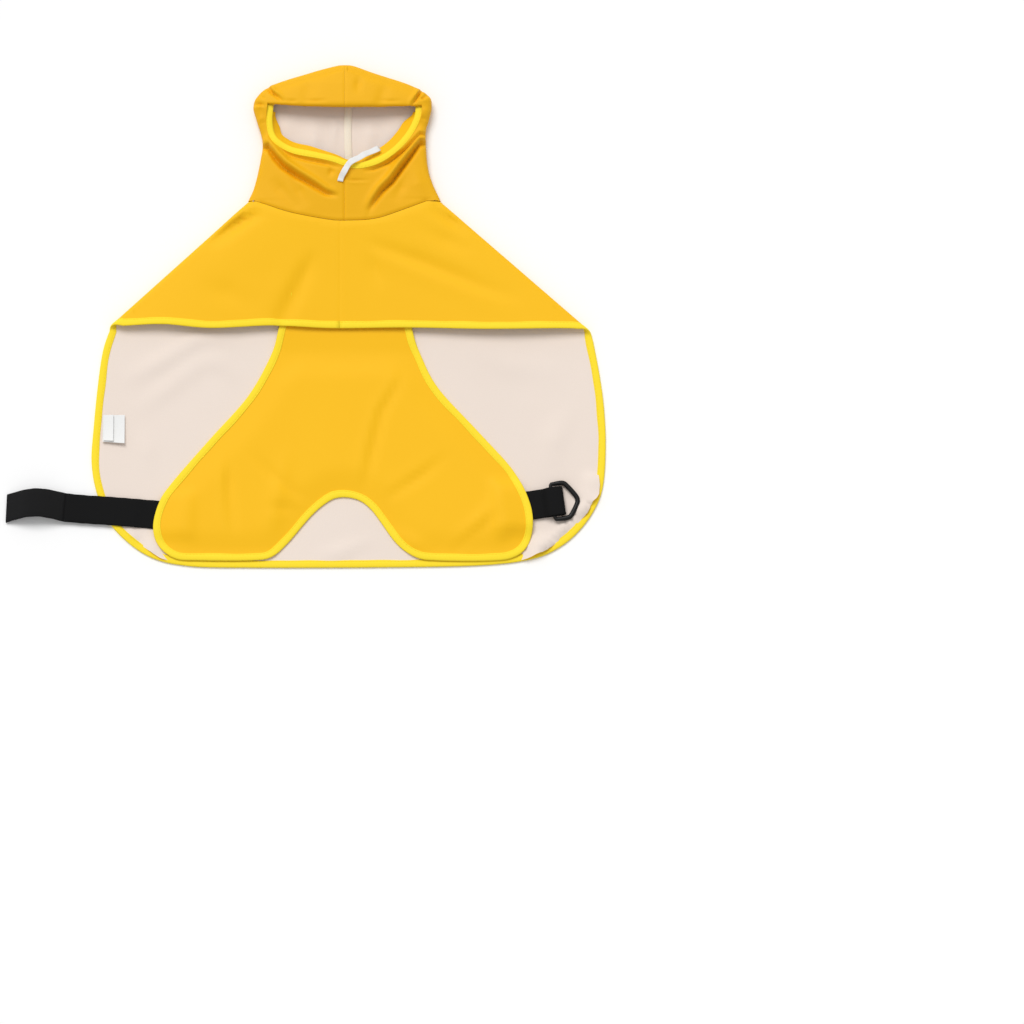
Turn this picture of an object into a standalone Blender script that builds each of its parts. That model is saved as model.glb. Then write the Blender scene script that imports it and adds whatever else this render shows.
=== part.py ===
"""Dog raincoat with a hood, laid flat on its back with the belly side up.

Tables and sizes are in millimetres and become metres when a mesh is finished. +X is the
right of the laid garment, +Y runs towards the hood and +Z is up. The origin is on the hood's
centre seam line, on the surface that the garment lies on.
"""

import math

import bmesh
import bpy
import numpy as np
from mathutils import Vector

MM = 0.001
SEAM_GAP = 0.3
HOOD_SEAM_GAP = 0.8
SEW_GAP = 0.7
# Extra room where a curved edge is made of straight pieces
HEM_EASE = 0.4
NECK_EASE = 0.3

# Cloth, tape and webbing
CLOTH = 1.2
BINDING_WIDTH = 7.6
BINDING_THICK = 2.2
WEBBING_WIDTH = 29.5
WEBBING_THICK = 1.6
LABEL_THICK = 1.0

# Mesh spacing
CAPE_GRID = 30.0
HOOD_GRID = 15.0
EDGE_STEP = 16.0
SEAM_STEP = 14.0
OPENING_STEP = 12.0
ROLL_STEPS = 6

# Folded sides of the cape, from the neck seam (upper) to the corner of the hem (lower)
FOLD_LEFT = {"upper": (-96, 120), "lower": (-240, -13)}
FOLD_RIGHT = {"upper": (95, 121), "lower": (253, -19)}

# Height of the upper layer's outer face, by station along Y: at the centre line,
# at MIDDLE of the way to the folded side, and at the folded side itself.
MIDDLE = 0.6
FRONT_SECTIONS = (
    # y, centre, middle, fold
    (-14, 8.0, 12.0, 9.0),
    (40, 10.0, 12.0, 10.0),
    (104, 13.0, 13.5, 11.0),
    (140, 17.0, 15.0, 11.0),
    (160, 19.0, 16.0, 12.0),
    (200, 20.0, 17.0, 12.5),
    (220, 22.0, 20.0, 15.5),
    (240, 19.0, 18.0, 15.0),
    (262, 14.0, 14.0, 14.0),
)

# Soft folds of the neck front: a trough from one point to another
NECK_FOLDS = (
    # x0, y0, x1, y1, depth, width
    (-76, 174, -49, 143, 3.0, 8.0),
    (-49, 143, -18, 122, 2.0, 9.0),
    (74, 178, 58, 160, 3.0, 8.0),
    (58, 160, 30, 120, 2.5, 9.0),
)

# Folded outline of the hood, from the neck seam up to the crown at the centre seam
HOOD_SIDE_LEFT = (
    # x, y
    (-98.4, 118.6),
    (-92, 134),
    (-86, 161),
    (-84, 181),
    (-90, 203),
    (-93.5, 217),
    (-89, 229),
    (-74, 240.5),
    (-37, 253),
    (-9, 260.8),
    (0, 261.6),
)
HOOD_SIDE_RIGHT = (
    # x, y
    (98.4, 118.6),
    (89, 140),
    (84.5, 159),
    (83, 190),
    (86, 203),
    (89, 217),
    (86, 229),
    (67, 240.5),
    (30.5, 253),
    (9, 260.8),
    (0, 261.6),
)

# Outer edge of the cape round its lower side, from the left fold to the right fold
CAPE_EDGE = (
    # x, y
    (-239.5, -16),
    (-246, -38),
    (-250.5, -71),
    (-254.5, -115),
    (-256.5, -154),
    (-250, -188),
    (-235, -220),
    (-201, -249),
    (-160, -260.5),
    (-90, -262.5),
    (50, -262),
    (140, -260),
    (191.5, -253.5),
    (221.5, -240),
    (243, -220),
    (258, -196),
    (264.5, -172),
    (266.5, -132),
    (264.5, -93),
    (260, -60),
    (253, -22),
)
# Lower edge of the chest, from the right fold to the left fold
CHEST_EDGE = (
    # x, y
    (238, -15.5),
    (222, -15.2),
    (147, -16.2),
    (63, -14.2),
    (-14, -14.6),
    (-72, -12.2),
    (-136, -15.2),
    (-184, -11.2),
    (-225, -12.5),
)
CHEST_SEAM_X = -4.5
FRONT_NECK_SEAM = (
    # x, y: from the right fold to the left fold
    (84, 118),
    (56, 107),
    (30, 99),
    (0, 97.5),
    (-17, 98.5),
    (-56, 106),
    (-85, 116),
)
BACK_NECK_Y = 116.0
SIDE_NECK_Y = 117.6
BACK_NECK = (
    # x on either side, y
    (45, BACK_NECK_Y),
    (84, BACK_NECK_Y + 1),
)

# Face opening: outer line of its binding, from its left end round the front of the neck
FACE_OPENING = (
    # x, y
    (-79, 221),
    (-80, 199),
    (-74.5, 181),
    (-57.5, 169),
    (-35, 163),
    (-12, 157.5),
    (-1, 153.5),
    (14, 150.5),
    (35, 156),
    (53.5, 168),
    (68.5, 186),
    (77.5, 205),
    (79, 219),
)
# The hidden rest of the opening's edge, turned in under the brim
HIDDEN_EDGE = (
    # x, y
    (66, 231),
    (36, 238),
    (0, 240),
    (-36, 238),
    (-66, 232),
)
BRIM_FRONT_Y = 218.5
BRIM_ROLL_CENTRE = 3.6
BRIM_ROLL_CORNER = 1.6
BRIM_TURN_IN = 13.0
BRIM_CORNER_TURN_IN = 2.0
BRIM_SHARES = (0.97, 0.72, 0.48, 0.24)
OPENING_HALF = 79.0
# The binding sinks towards the corners of the opening, over the last part of its way up.
CORNER_DIP = 3.5
CORNER_DIP_FROM_Y = 200.0
CORNER_DIP_REACH = 17.0

# Belly panel: it lies on the lining, rises over what is sewn under it and goes up to the
# chest between two stations along Y.
BELLY_RISE_Y = -8.0
BELLY_TOP_Y = 28.0
BELLY_OVER = {
    # x of the covered end, middle y, half the width, length of the slope
    "strap": (-158.0, -208.0, 18.0, 10.0),
    "tab": (159.0, -200.0, 19.0, 12.0),
}
HEM_REACH = 10.0
HEM_SLOPE = 8.0
# Outer edge: down the left side, along the bottom and up the right side
BELLY_EDGE = (
    # x, y
    (-60, BELLY_TOP_Y),
    (-67.5, -17),
    (-75, -43),
    (-98, -85),
    (-136, -129),
    (-172.5, -172),
    (-187, -194),
    (-193.5, -220),
    (-188, -240),
    (-171, -253.5),
    (-145, -255.5),
    (-93, -255.5),
    (-73, -252),
    (-57, -238),
    (-40, -217.5),
    (-30, -206.3),
    (-20, -197.5),
    (-10, -191.3),
    (0.5, -189.7),
    (11, -191.2),
    (19.5, -195),
    (28, -202.5),
    (36, -213),
    (54, -238),
    (73, -252),
    (93, -255.5),
    (143, -256),
    (171, -253),
    (186.5, -241),
    (192.5, -218),
    (188, -192),
    (171, -160),
    (135.5, -120),
    (96, -76),
    (78, -41),
    (70, -17),
    (62, BELLY_TOP_Y),
)

# Webbing: middle line of the strap's upward face, from under the belly panel to its free end
STRAP_ROUTE = (
    # x, y, z of its underside
    (-162, -210, 1.5),
    (-200, -207, 1.5),
    (-216, -205.8, 2.8),
    (-246, -203.5, 2.8),
    (-262, -202.5, 2.8),
    (-283.5, -200.6, 3.6),
)
STRAP_END_ROUTE = (
    # x, y, z of its underside
    (-284.6, -200.5, 3.6),
    (-297, -199.5, 8.0),
    (-309, -199, 11.0),
    (-321, -199.3, 10.5),
    (-333, -201.5, 5.5),
    (-342.5, -204.5, 0.6),
)
TAB_ROOT = (163, -202)
TAB_ANGLE = math.radians(8)
TAB_LENGTH = 57.9
TAB_FLAT_RUN = 38.0
BAR_RUN = 50.3
BAR_ROOM = 4.0
TAB_LOOP_STEPS = 8
RING_BAR = 3.8
RING_TILT = math.radians(3.5)
TAB_CLEARANCE = 0.4
RING_OUTLINE = (
    # run from the bar, place along the bar: middle line of the moulded frame
    (0, -17.4),
    (3, -18.4),
    (12.5, -18.2),
    (17, -15.5),
    (23.5, -6),
    (25, -1.5),
    (23.8, 3.5),
    (17, 14),
    (12.5, 18.2),
    (3, 18.4),
    (0, 17.4),
)

LABEL_SIZE = (22.5, 28.0)
LABEL_SKEW = 2.0
LABEL_LEAF = 11.0
LABEL_INSET = 1.0
LABEL_CORNER = (-245.5, -132.0)

LEASH_FLAP_X = 6.0
LEASH_FLAP_HALF = 36.0
LEASH_FLAP_LENGTH = 79.0
LEASH_FLAP_CORNER = 26.0
LEASH_FLAP_CORNER_STEPS = 6
FLAP_LIFT = 2.8
FLAP_MARGIN = 6.0
FLAP_SKIRT = 22.0

TAPE_WIDTH = 8.0
SEAM_TAPE_BOX = (0.5, 146.0, 8.0, 238.0)
NECK_TAPE_ROUTE = (
    # x, y, z of its underside
    (34, 168, 14.7),
    (22, 165, 18.0),
    (10, 158, 21.2),
    (2, 151, 21.5),
    (-2, 143, 18.6),
    (-4, 137, 17.4),
)


# ---------------------------------------------------------------- curves in the plane


def smooth_through(points, step, closed=False):
    """Points about every step along a Catmull-Rom curve through the points of a table."""
    table = np.array(points, float)
    if closed:
        padded = np.vstack([table[-1:], table, table[:2]])
    else:
        first = 2 * table[0] - table[1]
        last = 2 * table[-1] - table[-2]
        padded = np.vstack([first, table, last])
    line = []
    for a, b, c, d in zip(padded, padded[1:], padded[2:], padded[3:]):
        count = max(1, round(float(np.linalg.norm(c - b)) / step))
        for k in range(count):
            t = k / count
            bend = 2 * b + (c - a) * t
            bend = bend + (2 * a - 5 * b + 4 * c - d) * t**2
            bend = bend + (3 * b - a - 3 * c + d) * t**3
            line.append(bend / 2)
    if not closed:
        line.append(table[-1])
    return np.array(line)


def normals_of(line, closed=False):
    """Unit vectors in the plane, to the right of the way along a line."""
    if closed:
        run = np.roll(line, -1, axis=0) - np.roll(line, 1, axis=0)
    else:
        run = np.gradient(line, axis=0)
    run = run / np.linalg.norm(run, axis=1)[:, None]
    return np.column_stack([run[:, 1], -run[:, 0]])


def nearest_on(line, x, y):
    """(segment index, share along it, distance) of the point of a line nearest to x, y."""
    start = line[:-1]
    run = line[1:] - start
    away = np.array([x, y]) - start
    share = np.clip((away * run).sum(1) / (run**2).sum(1), 0, 1)
    gap = np.linalg.norm(away - run * share[:, None], axis=1)
    k = int(gap.argmin())
    return k, float(share[k]), float(gap[k])


# ---------------------------------------------------------------- heights of the layers


def section_row(y):
    stations, *columns = np.array(FRONT_SECTIONS, float).T
    return [float(np.interp(y, stations, column)) for column in columns]


def fold_height(y):
    return section_row(y)[2]


class Fold:
    """One straight folded side: the cloth lies flat inside it and turns up and over along it."""

    def __init__(self, upper, lower, side):
        self.upper = np.array(upper, float)
        run = np.array(lower, float) - self.upper
        self.length = float(np.linalg.norm(run))
        self.along = run / self.length
        self.out = np.array([self.along[1], -self.along[0]]) * -side
        self.side = side

    def radius(self, along):
        y = self.upper[1] + self.along[1] * along
        return fold_height(y) / 2

    def place(self, x, y):
        away = np.array([x, y]) - self.upper
        return float(away @ self.along), float(away @ self.out)

    def point(self, along, out):
        return self.upper + self.along * along + self.out * out

    def neck_points(self):
        """The neck edge round the roll, at one Y, in the flat cut: from below to above."""
        radius = self.radius(0)
        drop = self.upper[1] - SIDE_NECK_Y
        line = []
        for angle in np.linspace(0, math.pi, 5):
            along = (drop + self.out[1] * radius * (math.sin(angle) - 1)) / -self.along[1]
            line.append(self.point(along, radius * (angle - 1)))
        return line

    def unfold(self, x, y):
        """Where a point of the upper layer lies in the flat cut."""
        along, out = self.place(x, y)
        return self.point(along, (math.pi - 2) * self.radius(along) - out)

    def inner_x(self, y):
        """X of the flat layers' edge beside the fold, at one Y."""
        along = (y - self.upper[1]) / self.along[1]
        edge = self.point(along, -self.radius(along))
        return edge[0] + (y - edge[1]) * self.along[0] / self.along[1]


FOLDS = (
    Fold(FOLD_LEFT["upper"], FOLD_LEFT["lower"], -1),
    Fold(FOLD_RIGHT["upper"], FOLD_RIGHT["lower"], 1),
)


class HoodSide:
    """The folded outline of one half of the hood, with the line where its flat layers end."""

    def __init__(self, table, side):
        self.side = side
        self.outline = smooth_through(table, HOOD_GRID)
        self.outline[-1] = (0, table[-1][1])
        self.out = normals_of(self.outline) * side
        self.out[0] = (side, 0)
        self.out[-1] = (0, 1)
        self.radii = np.array([fold_height(y) / 2 for _, y in self.outline])
        self.inner = self.outline - self.out * self.radii[:, None]
        self.inner[-1, 0] = side * HOOD_SEAM_GAP / 2

    def roll_at(self, x, y):
        """Outward direction and radius of the roll at a point of the inner line."""
        k, share, _ = nearest_on(self.inner, x, y)
        out = self.out[k] * (1 - share) + self.out[k + 1] * share
        radius = self.radii[k] * (1 - share) + self.radii[k + 1] * share
        return out / np.linalg.norm(out), radius

    def inner_x(self, y):
        return float(np.interp(y, self.inner[:, 1], self.inner[:, 0]))


HOOD_SIDES = (HoodSide(HOOD_SIDE_LEFT, -1), HoodSide(HOOD_SIDE_RIGHT, 1))


def half_width(x, y):
    """How far the flat upper layer reaches from the centre line, on the side of x."""
    k = int(x > 0)
    lowest = min(FOLD_LEFT["lower"][1], FOLD_RIGHT["lower"][1])
    if y > FOLDS[k].upper[1]:
        return abs(HOOD_SIDES[k].inner_x(y))
    return abs(FOLDS[k].inner_x(max(y, lowest)))


def front_height(x, y):
    """Height of the outer face of the upper layer: chest, neck front and brim."""
    centre, middle, fold = section_row(y)
    s = min(1.0, abs(x) / max(half_width(x, y), 1.0))
    cubic = (MIDDLE**2 * (fold - centre) - (middle - centre)) / (MIDDLE**2 - MIDDLE**3)
    square = fold - centre - cubic
    height = centre + square * s**2 + cubic * s**3
    for x0, y0, x1, y1, depth, width in NECK_FOLDS:
        _, _, gap = nearest_on(np.array([(x0, y0), (x1, y1)], float), x, y)
        height -= depth * math.exp(-((gap / width) ** 2))
    return height


def flap_lift(x, y):
    """The back rises over the leash flap and its binding."""
    beside = abs(x - LEASH_FLAP_X) - LEASH_FLAP_HALF - FLAP_MARGIN
    below = BACK_NECK_Y - LEASH_FLAP_LENGTH - FLAP_MARGIN - y
    above = y - BACK_NECK_Y - 2
    beyond = max(beside, below, above, 0)
    return FLAP_LIFT * max(0.0, 1 - beyond / FLAP_SKIRT)


HEM_LINE = smooth_through(CAPE_EDGE, EDGE_STEP)


def ramp(beyond, reach):
    return max(0.0, min(1.0, 1 - beyond / reach))


def covers(which, x, y):
    """1 over the webbing sewn under the belly panel, falling to 0 down the slope round it."""
    end_x, middle_y, half, slope = BELLY_OVER[which]
    beyond_end = (x - end_x) if end_x < 0 else (end_x - x)
    return ramp(max(beyond_end, abs(y - middle_y) - half), slope)


def belly_base(x, y):
    """Underside of the belly panel: on the lining, over the webbing, and up to the chest."""
    base = CLOTH + SEAM_GAP
    over_strap = (WEBBING_THICK + SEAM_GAP) * covers("strap", x, y)
    over_tab = (2 * WEBBING_THICK + SEW_GAP + SEAM_GAP) * covers("tab", x, y)
    chest = front_height(x, max(y, BELLY_RISE_Y)) - CLOTH - BINDING_THICK - SEAM_GAP
    share = (y - BELLY_RISE_Y) / (BELLY_TOP_Y - BELLY_RISE_Y)
    rise = (chest - base) * max(0.0, min(1.0, share))
    hem_gap = nearest_on(HEM_LINE, x, y)[2] - HEM_REACH
    over_hem = (BINDING_THICK - CLOTH) * ramp(hem_gap, HEM_SLOPE)
    return base + max(over_strap, over_tab, over_hem, rise)


# ---------------------------------------------------------------- cloth meshes


def add_cut(bm, outline, cuts):
    """A flat face cut to an outline and divided along straight lines. Gives its points."""
    known = set(bm.verts)
    face = bm.faces.new([bm.verts.new((x, y, 0)) for x, y in outline])
    face.normal_update()
    if face.normal.z < 0:
        face.normal_flip()
    for point, across in cuts:
        parts = [f for f in bm.faces if not known.intersection(f.verts)]
        edges = {edge for part in parts for edge in part.edges}
        verts = {vert for part in parts for vert in part.verts}
        bmesh.ops.bisect_plane(
            bm,
            geom=[*verts, *edges, *parts],
            dist=0.2,
            plane_co=(*point, 0),
            plane_no=(*across, 0),
        )
    return [vert for vert in bm.verts if vert not in known]


def divide(bm, cuts):
    """Divides all of a mesh along straight lines."""
    for point, across in cuts:
        everything = [*bm.verts, *bm.edges, *bm.faces]
        bmesh.ops.bisect_plane(
            bm, geom=everything, dist=0.2, plane_co=(*point, 0), plane_no=(*across, 0)
        )


def grid_cuts(outline, spacing):
    low = np.min(outline, axis=0)
    high = np.max(outline, axis=0)
    cuts = []
    for axis in (0, 1):
        count = max(1, round((high[axis] - low[axis]) / spacing))
        across = (1, 0) if axis == 0 else (0, 1)
        for k in range(1, count):
            place = low[axis] + (high[axis] - low[axis]) * k / count
            point = (place, 0) if axis == 0 else (0, place)
            cuts.append((point, across))
    return cuts


def add_ribbon(bm, outer, inner, closed):
    """A flat strip between two lines with the same number of points."""
    verts = [bm.verts.new((x, y, 0)) for x, y in outer]
    pairs = list(zip(verts, verts[1:]))
    if closed:
        pairs.append((verts[-1], verts[0]))
    edges = [bm.edges.new(pair) for pair in pairs]
    made = bmesh.ops.extrude_edge_only(bm, edges=edges)["geom"]
    moved = [part for part in made if isinstance(part, bmesh.types.BMVert)]
    for vert in moved:
        first = next(e.other_vert(vert) for e in vert.link_edges if e.other_vert(vert) in verts)
        vert.co = (*inner[verts.index(first)], 0)
    return [*verts, *moved]


def roll_over(bm, edges, frame_of, steps):
    """Turns the cloth over along an edge, round a half circle. Gives the last row of edges."""
    start = {vert for edge in edges for vert in edge.verts}
    frames = {vert: frame_of(vert) for vert in start}
    row = {vert: vert for vert in start}
    for k in range(1, steps + 1):
        angle = math.pi * k / steps
        made = bmesh.ops.extrude_edge_only(bm, edges=edges)["geom"]
        edges = [part for part in made if isinstance(part, bmesh.types.BMEdge)]
        fresh = [part for part in made if isinstance(part, bmesh.types.BMVert)]
        edges = [edge for edge in edges if edge.verts[0] in fresh and edge.verts[1] in fresh]
        following = {}
        for vert in fresh:
            old = next(e.other_vert(vert) for e in vert.link_edges if e.other_vert(vert) in row)
            origin = row[old]
            base, out, top, bottom, radius = frames[origin]
            centre = (top + bottom) / 2
            reach = out * radius * math.sin(angle)
            height = centre + (top - bottom) / 2 * math.cos(angle)
            vert.co = (base[0] + reach[0], base[1] + reach[1], height)
            following[vert] = origin
        row = following
    return edges


def material(name, colour, roughness, metallic=0.0):
    made = bpy.data.materials.get(name) or bpy.data.materials.new(name)
    made.use_nodes = True
    shader = made.node_tree.nodes["Principled BSDF"]
    shader.inputs["Base Color"].default_value = (*colour, 1)
    shader.inputs["Roughness"].default_value = roughness
    shader.inputs["Metallic"].default_value = metallic
    return made


def outer_cloth():
    return material("golden_raincloth", (0.94, 0.53, 0.02), 0.55)


def binding_tape():
    return material("yellow_binding", (1.0, 0.75, 0.05), 0.6)


def black_webbing():
    return material("black_webbing", (0.01, 0.01, 0.011), 0.8)


def black_plastic():
    return material("black_plastic", (0.008, 0.008, 0.009), 0.35)


def white_tape():
    return material("white_tape", (0.85, 0.85, 0.84), 0.7)


def lining_tape():
    return material("lining_tape", (0.84, 0.76, 0.70), 0.8)


def finish(name, bm, finish_material, wall=0.0):
    """Makes the object, in metres. A wall is laid on the side that the faces point away from."""
    bmesh.ops.remove_doubles(bm, verts=bm.verts, dist=0.02)
    bmesh.ops.triangulate(bm, faces=[f for f in bm.faces if len(f.verts) > 4])
    bmesh.ops.scale(bm, vec=(MM, MM, MM), verts=bm.verts)
    mesh = bpy.data.meshes.new(name)
    bm.to_mesh(mesh)
    bm.free()
    mesh.materials.append(finish_material)
    mesh.shade_smooth()
    obj = bpy.data.objects.new(name, mesh)
    bpy.context.scene.collection.objects.link(obj)
    if wall:
        solidify = obj.modifiers.new("cloth wall", "SOLIDIFY")
        solidify.thickness = wall * MM
        solidify.offset = -1
    return obj


# ---------------------------------------------------------------- cape


def fold_cape(x, y):
    """A point of the flat cut, laid down and turned over the fold that it lies beyond."""
    fold = FOLDS[int(x > 0)]
    along, out = fold.place(x, y)
    radius = fold.radius(along)
    angle = (out + radius) / radius
    if angle <= 0:
        return x, y, flap_lift(x, y)
    if angle < math.pi:
        px, py = fold.point(along, radius * (math.sin(angle) - 1))
        return px, py, radius * (1 - math.cos(angle))
    px, py = fold.point(along, (math.pi - 2) * radius - out)
    return px, py, front_height(px, py)


def roll_cuts():
    """Lines that divide the cloth round each fold."""
    cuts = []
    for fold in FOLDS:
        for k in range(ROLL_STEPS + 1):
            ends = []
            for along in (0, fold.length):
                radius = fold.radius(along)
                ends.append(fold.point(along, radius * (math.pi * k / ROLL_STEPS - 1)))
            run = ends[1] - ends[0]
            cuts.append((tuple(ends[0]), (run[1], -run[0])))
    return cuts


def cape_edge_line(step):
    """The bound edge in the flat cut: one closed run, open only at the centre front."""
    left, right = FOLDS
    chest = smooth_through(CHEST_EDGE, step)
    right_wing = [right.unfold(x, y) for x, y in chest if x > CHEST_SEAM_X + 4]
    left_wing = [left.unfold(x, y) for x, y in chest if x < CHEST_SEAM_X - 4]
    y_front = float(np.interp(-CHEST_SEAM_X, -chest[:, 0], chest[:, 1]))
    half = SEAM_GAP / 2
    right_wing.append(right.unfold(CHEST_SEAM_X + half, y_front))
    left_wing.insert(0, left.unfold(CHEST_SEAM_X - half, y_front))
    lower = smooth_through(CAPE_EDGE, step)
    return np.array([*left_wing, *lower, *right_wing])


def inset(line, width):
    """A line moved to the left of its way along."""
    return line - normals_of(line) * width


def make_cape():
    left, right = FOLDS
    half = SEAM_GAP / 2
    edge = inset(cape_edge_line(EDGE_STEP), BINDING_WIDTH + SEAM_GAP + HEM_EASE)
    neck = smooth_through(FRONT_NECK_SEAM, SEAM_STEP)
    y_front = float(np.interp(-CHEST_SEAM_X, -neck[:, 0], neck[:, 1]))
    neck_right = [right.unfold(x, y) for x, y in neck if x > CHEST_SEAM_X + 4]
    neck_left = [left.unfold(x, y) for x, y in neck if x < CHEST_SEAM_X - 4]
    top_right = right.unfold(CHEST_SEAM_X + half, y_front)
    top_left = left.unfold(CHEST_SEAM_X - half, y_front)
    back = [(x, y) for x, y in (*BACK_NECK[::-1], *[(-x, y) for x, y in BACK_NECK])]
    outline = [
        *edge,
        top_right,
        *neck_right[::-1],
        *right.neck_points()[::-1],
        *back,
        *left.neck_points(),
        *neck_left[::-1],
        top_left,
    ]
    bm = bmesh.new()
    cuts = grid_cuts(outline, CAPE_GRID) + roll_cuts() + flap_cuts()
    for vert in add_cut(bm, outline, cuts):
        vert.co = fold_cape(vert.co.x, vert.co.y)
    # The outer face looks down where the cape lies on the surface.
    bmesh.ops.reverse_faces(bm, faces=bm.faces)
    return finish("cape", bm, outer_cloth(), CLOTH)


def flap_cuts():
    cuts = []
    for side in (-1, 1):
        for beyond in (FLAP_MARGIN, FLAP_MARGIN + FLAP_SKIRT):
            cuts.append(((LEASH_FLAP_X + side * (LEASH_FLAP_HALF + beyond), 0), (1, 0)))
    for beyond in (FLAP_MARGIN, FLAP_MARGIN + FLAP_SKIRT):
        cuts.append(((0, BACK_NECK_Y - LEASH_FLAP_LENGTH - beyond), (0, 1)))
    return cuts


def make_cape_binding():
    edge = cape_edge_line(EDGE_STEP)
    bm = bmesh.new()
    add_ribbon(bm, edge, inset(edge, BINDING_WIDTH), False)
    divide(bm, roll_cuts())
    for vert in bm.verts:
        vert.co = fold_cape(vert.co.x, vert.co.y)
    bmesh.ops.recalc_face_normals(bm, faces=bm.faces)
    face_down(bm)
    return finish("cape_binding", bm, binding_tape(), BINDING_THICK)


def face_down(bm):
    """Turns the faces so that the lowest one looks down."""
    bm.normal_update()
    lowest = min(bm.faces, key=lambda face: face.calc_center_median().z)
    if lowest.normal.z > 0:
        bmesh.ops.reverse_faces(bm, faces=bm.faces)


# ---------------------------------------------------------------- hood


def opening_line():
    return smooth_through(FACE_OPENING, OPENING_STEP)


def brim_line(side):
    """Front edge of the brim, from the corner of the face opening to the centre seam."""
    corner = np.array(FACE_OPENING[0] if side < 0 else FACE_OPENING[-1], float)
    rise = corner[1] - BRIM_FRONT_Y
    return [(corner[0] * share, BRIM_FRONT_Y + rise * share**2) for share in BRIM_SHARES]


def brim_roll(x):
    share = min(1.0, abs(x) / OPENING_HALF)
    return BRIM_ROLL_CENTRE + (BRIM_ROLL_CORNER - BRIM_ROLL_CENTRE) * share**2


def make_hood_half(name, hood):
    side = hood.side
    half = side * HOOD_SEAM_GAP / 2
    line = opening_line()
    mine = line[line[:, 0] * side > 5]
    mine = mine if side > 0 else mine[::-1]
    brim = brim_line(side)
    bottom = line[np.abs(line[:, 0]) < 50]
    y_low = float(np.interp(half, bottom[:, 0], bottom[:, 1]))
    seam = smooth_through(FRONT_NECK_SEAM, SEAM_STEP)
    seam = seam[seam[:, 0] * side > 5] + (0, SEAM_GAP + NECK_EASE)
    seam = seam if side < 0 else seam[::-1]
    y_neck = FRONT_NECK_SEAM[3][1] + SEAM_GAP + NECK_EASE
    crown = hood.inner[::-1]
    front = [
        (half, y_low),
        *[tuple(point) for point in mine[:-1]],
        *brim,
        (half, BRIM_FRONT_Y),
        *[tuple(point) for point in crown],
        *[tuple(point) for point in seam[::-1]],
        (half, y_neck),
    ]
    bm = bmesh.new()
    cuts = grid_cuts(front, HOOD_GRID)
    for vert in add_cut(bm, front, cuts):
        vert.co.z = front_height(vert.co.x, vert.co.y)
    rim = [edge for edge in bm.edges if edge.is_boundary]
    on_side = [edge for edge in rim if all(lies_on(vert, hood.inner) for vert in edge.verts)]
    brim_edge = np.array([*brim, (half, BRIM_FRONT_Y)])
    on_brim = [edge for edge in rim if all(lies_on(vert, brim_edge) for vert in edge.verts)]

    def side_frame(vert):
        out, radius = hood.roll_at(vert.co.x, vert.co.y)
        bottom = flap_lift(vert.co.x, vert.co.y)
        return (vert.co.x, vert.co.y), out, vert.co.z, bottom, radius

    def brim_frame(vert):
        forward = np.array([0.0, -1.0])
        radius = brim_roll(vert.co.x)
        return (vert.co.x, vert.co.y), forward, vert.co.z, vert.co.z - 2 * radius, radius

    roll_over(bm, on_side, side_frame, ROLL_STEPS)
    edges = roll_over(bm, on_brim, brim_frame, ROLL_STEPS - 1)
    turned = bmesh.ops.extrude_edge_only(bm, edges=edges)["geom"]
    reach = abs(brim[0][0])
    for vert in [part for part in turned if isinstance(part, bmesh.types.BMVert)]:
        share = min(1.0, abs(vert.co.x) / reach)
        spread = BRIM_TURN_IN - BRIM_CORNER_TURN_IN
        vert.co.y += BRIM_CORNER_TURN_IN + spread * (1 - share**2)
        vert.co.z -= CLOTH / 2
    known = set(bm.verts)
    back = [
        (half, BACK_NECK_Y + SEAM_GAP + NECK_EASE),
        *[(side * x, y + SEAM_GAP + NECK_EASE) for x, y in BACK_NECK],
        *[tuple(point) for point in hood.inner],
    ]
    for vert in add_cut(bm, back, cuts):
        vert.co.z = flap_lift(vert.co.x, vert.co.y)
    bmesh.ops.reverse_faces(
        bm, faces=[f for f in bm.faces if not known.intersection(f.verts)]
    )
    return finish(name, bm, outer_cloth(), CLOTH)


def lies_on(vert, line):
    return nearest_on(line, vert.co.x, vert.co.y)[2] < 0.05


def sweep(bm, path, across, half_wide, half_thick, closed, square=0.5, sides=8):
    """A section carried along a path: round where square is 0. across is its wide direction."""
    rings = []
    count = len(path)
    for k, (point, wide) in enumerate(zip(path, across)):
        ahead = path[(k + 1) % count] if closed or k + 1 < count else path[k]
        behind = path[k - 1] if closed or k else path[k]
        run = Vector(ahead) - Vector(behind)
        run.normalize()
        wide = Vector(wide)
        wide = (wide - run * wide.dot(run)).normalized()
        thick = run.cross(wide)
        made = bmesh.ops.create_circle(bm, segments=sides, radius=1)["verts"]
        for vert in made:
            a, b = vert.co.x, vert.co.y
            flat = 1 / max(abs(a), abs(b)) ** square
            vert.co = Vector(point) + wide * a * flat * half_wide + thick * b * flat * half_thick
        rings.append([e for e in bm.edges if e.verts[0] in made and e.verts[1] in made])
    pairs = list(zip(rings, rings[1:]))
    if closed:
        pairs.append((rings[-1], rings[0]))
    for first, second in pairs:
        bmesh.ops.bridge_loops(bm, edges=first + second)
    if not closed:
        for ring in (rings[0], rings[-1]):
            bmesh.ops.holes_fill(bm, edges=ring, sides=sides)
    bmesh.ops.recalc_face_normals(bm, faces=bm.faces)


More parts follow.
